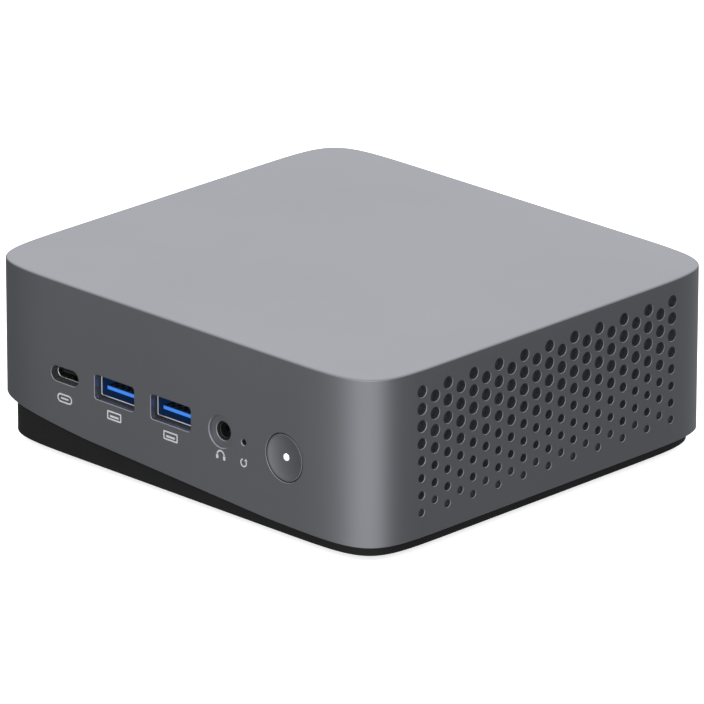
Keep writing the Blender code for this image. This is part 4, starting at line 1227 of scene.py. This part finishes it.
def impeller():
    """A cup and thirteen curved blades, which turn about the fan's own upright axis."""
    base = box_mm("fan_rotor")[0].z - 1.0
    x, y = FAN_CENTRE
    form = Form("fan_impeller", FAN_PLASTIC)
    cup = [(9.4, 1.0), (11.0, 1.0), (11.0, 11.9), (10.9, 12.25), (10.5, 12.4), (2.0, 12.4), (2.0, 11.3),
           (9.4, 11.3)]
    form.turn("under", (x, y, base), cup, 0, 64, True)
    form.turn("under", (x, y, base), [(1.95, 11.35), (1.95, 12.3), (1.5, 12.35)], 0, 32)
    blades, steps, root, tip, blade_low, blade_high = 13, 10, 10.8, 25.1, 1.4, 11.6
    for blade in range(blades):
        turn = 2 * pi * (blade + 0.5) / blades
        rings = []
        for step in range(steps + 1):
            share = step / steps
            reach = root + (tip - root) * share
            lean = turn + 0.20 * share + 0.16 * share ** 2
            thick = (0.42 - 0.18 * share) / reach
            corners = ((lean - thick, blade_low), (lean + thick, blade_low), (lean + thick, blade_high),
                       (lean - thick, blade_high))
            rings.append([(x + reach * cos(angle), y + reach * sin(angle), base + z)
                          for angle, z in corners])
        form.loft(rings)
    form.done("black_insert", "fan_rotor", body="fan_rotor", angle=40.0)


def stator():
    """Nine wound poles round a bearing tube, each of six turns, from narrow to wide."""
    low, high = box_mm("fan_stator")
    x, y = FAN_CENTRE
    form = Form("fan_coils", COPPER, STEEL)
    form.turn("under", (x, y, low.z), [(2.6, 0.0), (2.6, high.z - low.z)], 1, 32)
    form.turn("under", (x, y, low.z), [(7.9, 0.4), (7.9, 1.6), (3.0, 1.6), (3.0, 0.4)], 1, 48, True)
    poles = 9
    for pole in range(poles):
        turn = 2 * pi * pole / poles
        along = Vector((cos(turn), sin(turn), 0.0))
        across = Vector((-along.y, along.x, 0.0))
        for layer in range(6):
            start = Vector((x, y, low.z + 2.4 + layer * 1.0)) + along * 3.2
            rings = [[start + along * reach + across * u + Vector((0.0, 0.0, v)) for u, v in circle(half, 8)]
                     for reach, half in ((0.0, 0.45), (2.0, 0.55), (4.3, 0.60))]
            form.loft(rings)
    form.done("copper", "fan_stator")


def card(node, name, board_low, along, contacts, chips, small):
    """A plug-in card: lacquered board, edge contacts, chips and small parts on its lower side."""
    low, high = box_mm(node)
    form = Form(name, MODULE_BOARD, CHIP, CERAMIC)
    form.box((low.x, low.y, board_low), high, 0, 0.06)
    run, across = (0, 1) if along == "x" else (1, 0)
    count, pitch = contacts
    for offset in row(count, pitch):
        middle = 0.5 * (low[across] + high[across]) + offset
        near, far = [0.0, 0.0, board_low - 0.03], [0.0, 0.0, board_low]
        near[run], far[run] = high[run] - 2.6, high[run] - 0.2
        near[across], far[across] = middle - 0.2 * pitch, middle + 0.2 * pitch
        form.box(near, far)
    for x, y, width, depth in chips:
        form.block(x, y, (width, depth), (low.z, board_low), 1, 0.12)
    for x, y in small:
        form.block(x, y, (1.0, 0.5), (board_low - 0.4, board_low), 2)
    form.done("board", node)


def memory():
    low = box_mm("memory_module")[0]
    chips = [(low.x + 9.5 + 16.0 * index, 18.0, 11.0, 12.0) for index in range(4)]
    small = [(low.x + 4.0 + 3.2 * index, 28.5) for index in range(20)]
    card("memory_module", "memory_card", 13.75, "y", (64, 1.0), chips, small)


def drive():
    low, _, centre = extent("ssd_module")
    chips = [(low.x + start + 8.0, centre.y, 16.0, 16.0) for start in (14.0, 36.0, 56.0)]
    small = [(low.x + 6.0 + 3.0 * index, centre.y + direction * 9.6)
             for index in range(23) for direction in (-1, 1)]
    card("ssd_module", "drive_card", 14.6, "x", (38, 0.5), chips, small)


def wireless():
    low, _, centre = extent("wifi_card")
    chips = [(centre.x, low.y + 14.0, 16.0, 16.0)]
    small = [(centre.x - 8.0 + 2.6 * index, low.y + 4.0) for index in range(7)]
    card("wifi_card", "wireless_card_fine", 14.6, "y", (38, 0.5), chips, small)


def sockets():
    repaint(BLACK_PLASTIC, "memory_socket", "ssd_socket", "wifi_socket", "usb_c_riser", "reset_switch",
            "power_switch")
    repaint(COPPER, "cold_plate", "antenna")
    repaint(PRINT, "power_switch_plunger")


def battery():
    """A coin cell in a round clip holder."""
    low, _, centre = extent("coin_cell_holder")
    at = (centre.x, centre.y, low.z)
    holder = Form("cell_holder", BLACK_PLASTIC)
    rim = [(11.5, 0.0), (11.5, 3.7), (11.2, 4.0), (10.5, 4.0), (10.3, 3.8), (10.3, 0.7), (9.0, 0.7),
           (9.0, 0.0)]
    holder.turn("under", at, rim, 0, 64, True)
    holder.turn("under", at, [(9.0, 0.05), (9.0, 0.68)], 0, 48)
    holder.done("black_insert", "coin_cell_holder")
    cell_low, cell_high = box_mm("coin_cell")
    tall = cell_high.z - cell_low.z
    cell = Form("cell", STEEL)
    profile = [(8.8, 0.0), (9.9, 0.25), (9.9, tall - 0.5), (9.6, tall - 0.12), (9.2, tall), (7.4, tall),
               (7.2, tall - 0.14), (1.0, tall - 0.14)]
    cell.turn("under", (centre.x, centre.y, cell_low.z), profile, 0, 64)
    cell.done("steel", "coin_cell")


def leads():
    """The routes are the CAD leads', in millimetres."""
    fan_route = [(11.1, 0.0, 30.0), (11.1, -6.0, 29.5), (11.5, -11.0, 28.0), (12.2, -14.5, 25.0),
                 (12.6, -17.0, 22.3), (13.2, -20.0, 21.4), (14.0, -23.0, 21.2)]
    lead = Form("fan_wires", CABLE, WIRE_RED, WIRE_BLUE, WIRE_PALE)
    for index, offset in enumerate((-0.42, -0.14, 0.14, 0.42)):
        shifted = [(x + offset, y, z) for x, y, z in curve_through(fan_route)]
        sweep(lead, shifted, 0.15, index, 10)
    end_x, end_y, end_z = fan_route[-1]
    board_top = box_mm("mainboard")[1].z
    lead.box((end_x - 1.8, end_y - 2.6, board_top), (end_x + 1.8, end_y + 0.2, end_z + 0.6), 3, 0.2)
    start_x, start_y, start_z = fan_route[0]
    lead.box((start_x - 0.9, start_y - 0.6, start_z - 1.2), (start_x + 0.7, start_y + 1.6, start_z + 1.0), 0,
             0.3)
    lead.done("black_insert", "fan_lead")
    inside = box_mm("antenna")[0].x
    antenna_route = [(inside + 1.5, 0.0, 8.5), (-54.0, -1.0, 8.2), (-30.0, -3.0, 7.6), (0.0, -5.0, 7.6),
                     (28.0, -8.0, 9.0), (38.0, -9.0, 12.0), (43.0, -9.0, 13.5)]
    coax = Form("antenna_coax", CABLE)
    sweep(coax, curve_through(antenna_route), 0.5, 0, 14)
    coax.done("black_insert", "antenna_lead")


# Stage

LENS_MM = 425.5        # on Blender's 36 mm sensor
VIEW_LIMIT_M = 100.0
CAMERA_YAW = 44.32
CAMERA_PITCH = 20.29
CAMERA_ROLL = 0.12
CAMERA_DISTANCE = 2059.9
CAMERA_SHIFT = (0.07, 21.494)

# The studio's light: levels that rise between two sines of the height
SKY_HEIGHTS = ((-1.5, -1.2, 0.139),         # everywhere, which the upright faces mirror
               (-0.05, 0.45, 0.84))         # added overhead
# Soft glows: azimuth from the camera's, elevation and width in degrees, and level
SKY_GLOWS = ((-9.0, -18.0, 80.0, 0.74),     # the highlight down the near corner
             (180.0, 32.0, 60.0, 0.37),     # high behind the object, which the top mirrors
             (150.0, -15.0, 55.0, 0.19))    # low behind the object
FLOOR_SIZE_M = 6.0     # from the middle to each edge, in metres
FLOOR_DROP = 0.05      # a hair below the feet, so that the two surfaces don't coincide
FLOOR_LIFT = 0.75      # keeps the contact shadow faint, as under a lit sweep


def camera():
    yaw, pitch, roll = (radians(angle) for angle in (CAMERA_YAW, CAMERA_PITCH, CAMERA_ROLL))
    back = Vector((sin(yaw) * cos(pitch), -cos(yaw) * cos(pitch), sin(pitch)))
    across = Vector((cos(yaw), sin(yaw), 0.0))
    upward = back.cross(across)
    place = back * CAMERA_DISTANCE + across * CAMERA_SHIFT[0] + upward * CAMERA_SHIFT[1]
    right = cos(roll) * across + sin(roll) * upward
    up = cos(roll) * upward - sin(roll) * across
    turn = Matrix((right, up, back)).transposed()
    data = bpy.data.cameras.new("camera")
    data.lens = LENS_MM
    data.clip_end = VIEW_LIMIT_M
    obj = bpy.data.objects.new("camera", data)
    obj.matrix_world = Matrix.Translation(place * MM) @ turn.to_4x4()
    bpy.context.scene.collection.objects.link(obj)
    bpy.context.scene.camera = obj


def floor():
    shape = bmesh.new()
    bmesh.ops.create_grid(shape, x_segments=1, y_segments=1, size=FLOOR_SIZE_M)
    nodes = Nodes("floor_paper")
    nodes.set(Roughness=1.0)
    nodes.colours(nodes.noise(0.002, 2.0), (0.93, 0.93, 0.93), (0.95, 0.95, 0.95))
    nodes.set(Emission_Color=(1.0, 1.0, 1.0, 1.0), Emission_Strength=FLOOR_LIFT)
    obj = new_object("floor", shape, nodes.material)
    obj.location.z = -FLOOR_DROP * MM
    obj.visible_glossy = False
    obj.visible_diffuse = False
    obj.visible_shadow = False


class Sky:
    """The studio around the object: a level for each height, plus soft glows in some directions."""

    def __init__(self):
        self.world = bpy.data.worlds.new("studio")
        self.world.use_nodes = True
        self.tree = self.world.node_tree
        self.direction = self.tree.nodes.new("ShaderNodeTexCoord").outputs["Generated"]
        self.total = None

    def add(self, source, low, high, level):
        """Adds light that rises from nothing to the level as the source goes from low to high."""
        remap = self.tree.nodes.new("ShaderNodeMapRange")
        remap.interpolation_type = "SMOOTHSTEP"
        for socket, value in (("From Min", low), ("From Max", high), ("To Max", level)):
            remap.inputs[socket].default_value = value
        self.tree.links.new(source, remap.inputs["Value"])
        light = remap.outputs["Result"]
        if self.total is not None:
            both = self.tree.nodes.new("ShaderNodeMath")
            self.tree.links.new(self.total, both.inputs[0])
            self.tree.links.new(light, both.inputs[1])
            light = both.outputs[0]
        self.total = light

    def glow(self, azimuth, elevation, width, level):
        """Brightest towards a direction, and gone at width degrees from it. Azimuth 0 is -Y, 90 is +X."""
        around, up = radians(azimuth), radians(elevation)
        dot = self.tree.nodes.new("ShaderNodeVectorMath")
        dot.operation = "DOT_PRODUCT"
        dot.inputs[1].default_value = (sin(around) * cos(up), -cos(around) * cos(up), sin(up))
        self.tree.links.new(self.direction, dot.inputs[0])
        self.add(dot.outputs["Value"], cos(radians(width)), 1.0, level)

    def heights(self, low, high, level):
        """Rises with height, from nothing at the sine low to the full level at the sine high."""
        split = self.tree.nodes.new("ShaderNodeSeparateXYZ")
        self.tree.links.new(self.direction, split.inputs["Vector"])
        self.add(split.outputs["Z"], low, high, level)

    def finish(self):
        background = self.tree.nodes["Background"]
        background.inputs["Color"].default_value = (0.985, 0.99, 1.0, 1.0)
        self.tree.links.new(self.total, background.inputs["Strength"])
        bpy.context.scene.world = self.world


def sky():
    made = Sky()
    for low, high, level in SKY_HEIGHTS:
        made.heights(low, high, level)
    for azimuth, elevation, width, level in SKY_GLOWS:
        made.glow(CAMERA_YAW + azimuth, elevation, width, level)
    made.finish()


def stage():
    camera()
    floor()
    sky()
    bpy.context.scene.view_settings.view_transform = "Standard"


case_shell()
base_cover()
usb_c()
for port in ("usb_a_left", "usb_a_right"):
    usb_a(port, "front")
for port in ("rear_usb_left", "rear_usb_right"):
    usb_a(port, "rear")
for port in ("hdmi_left", "hdmi_right"):
    hdmi(port)
network_jack()
power_inlet()
audio_socket()
reset_control()
power_control()
port_frames()
vent_filters()
signs()
feet()
screws()
mainboard()
processor()
heat_pipe()
heatsink()
fan_housing()
impeller()
stator()
memory()
drive()
wireless()
sockets()
battery()
leads()
stage()
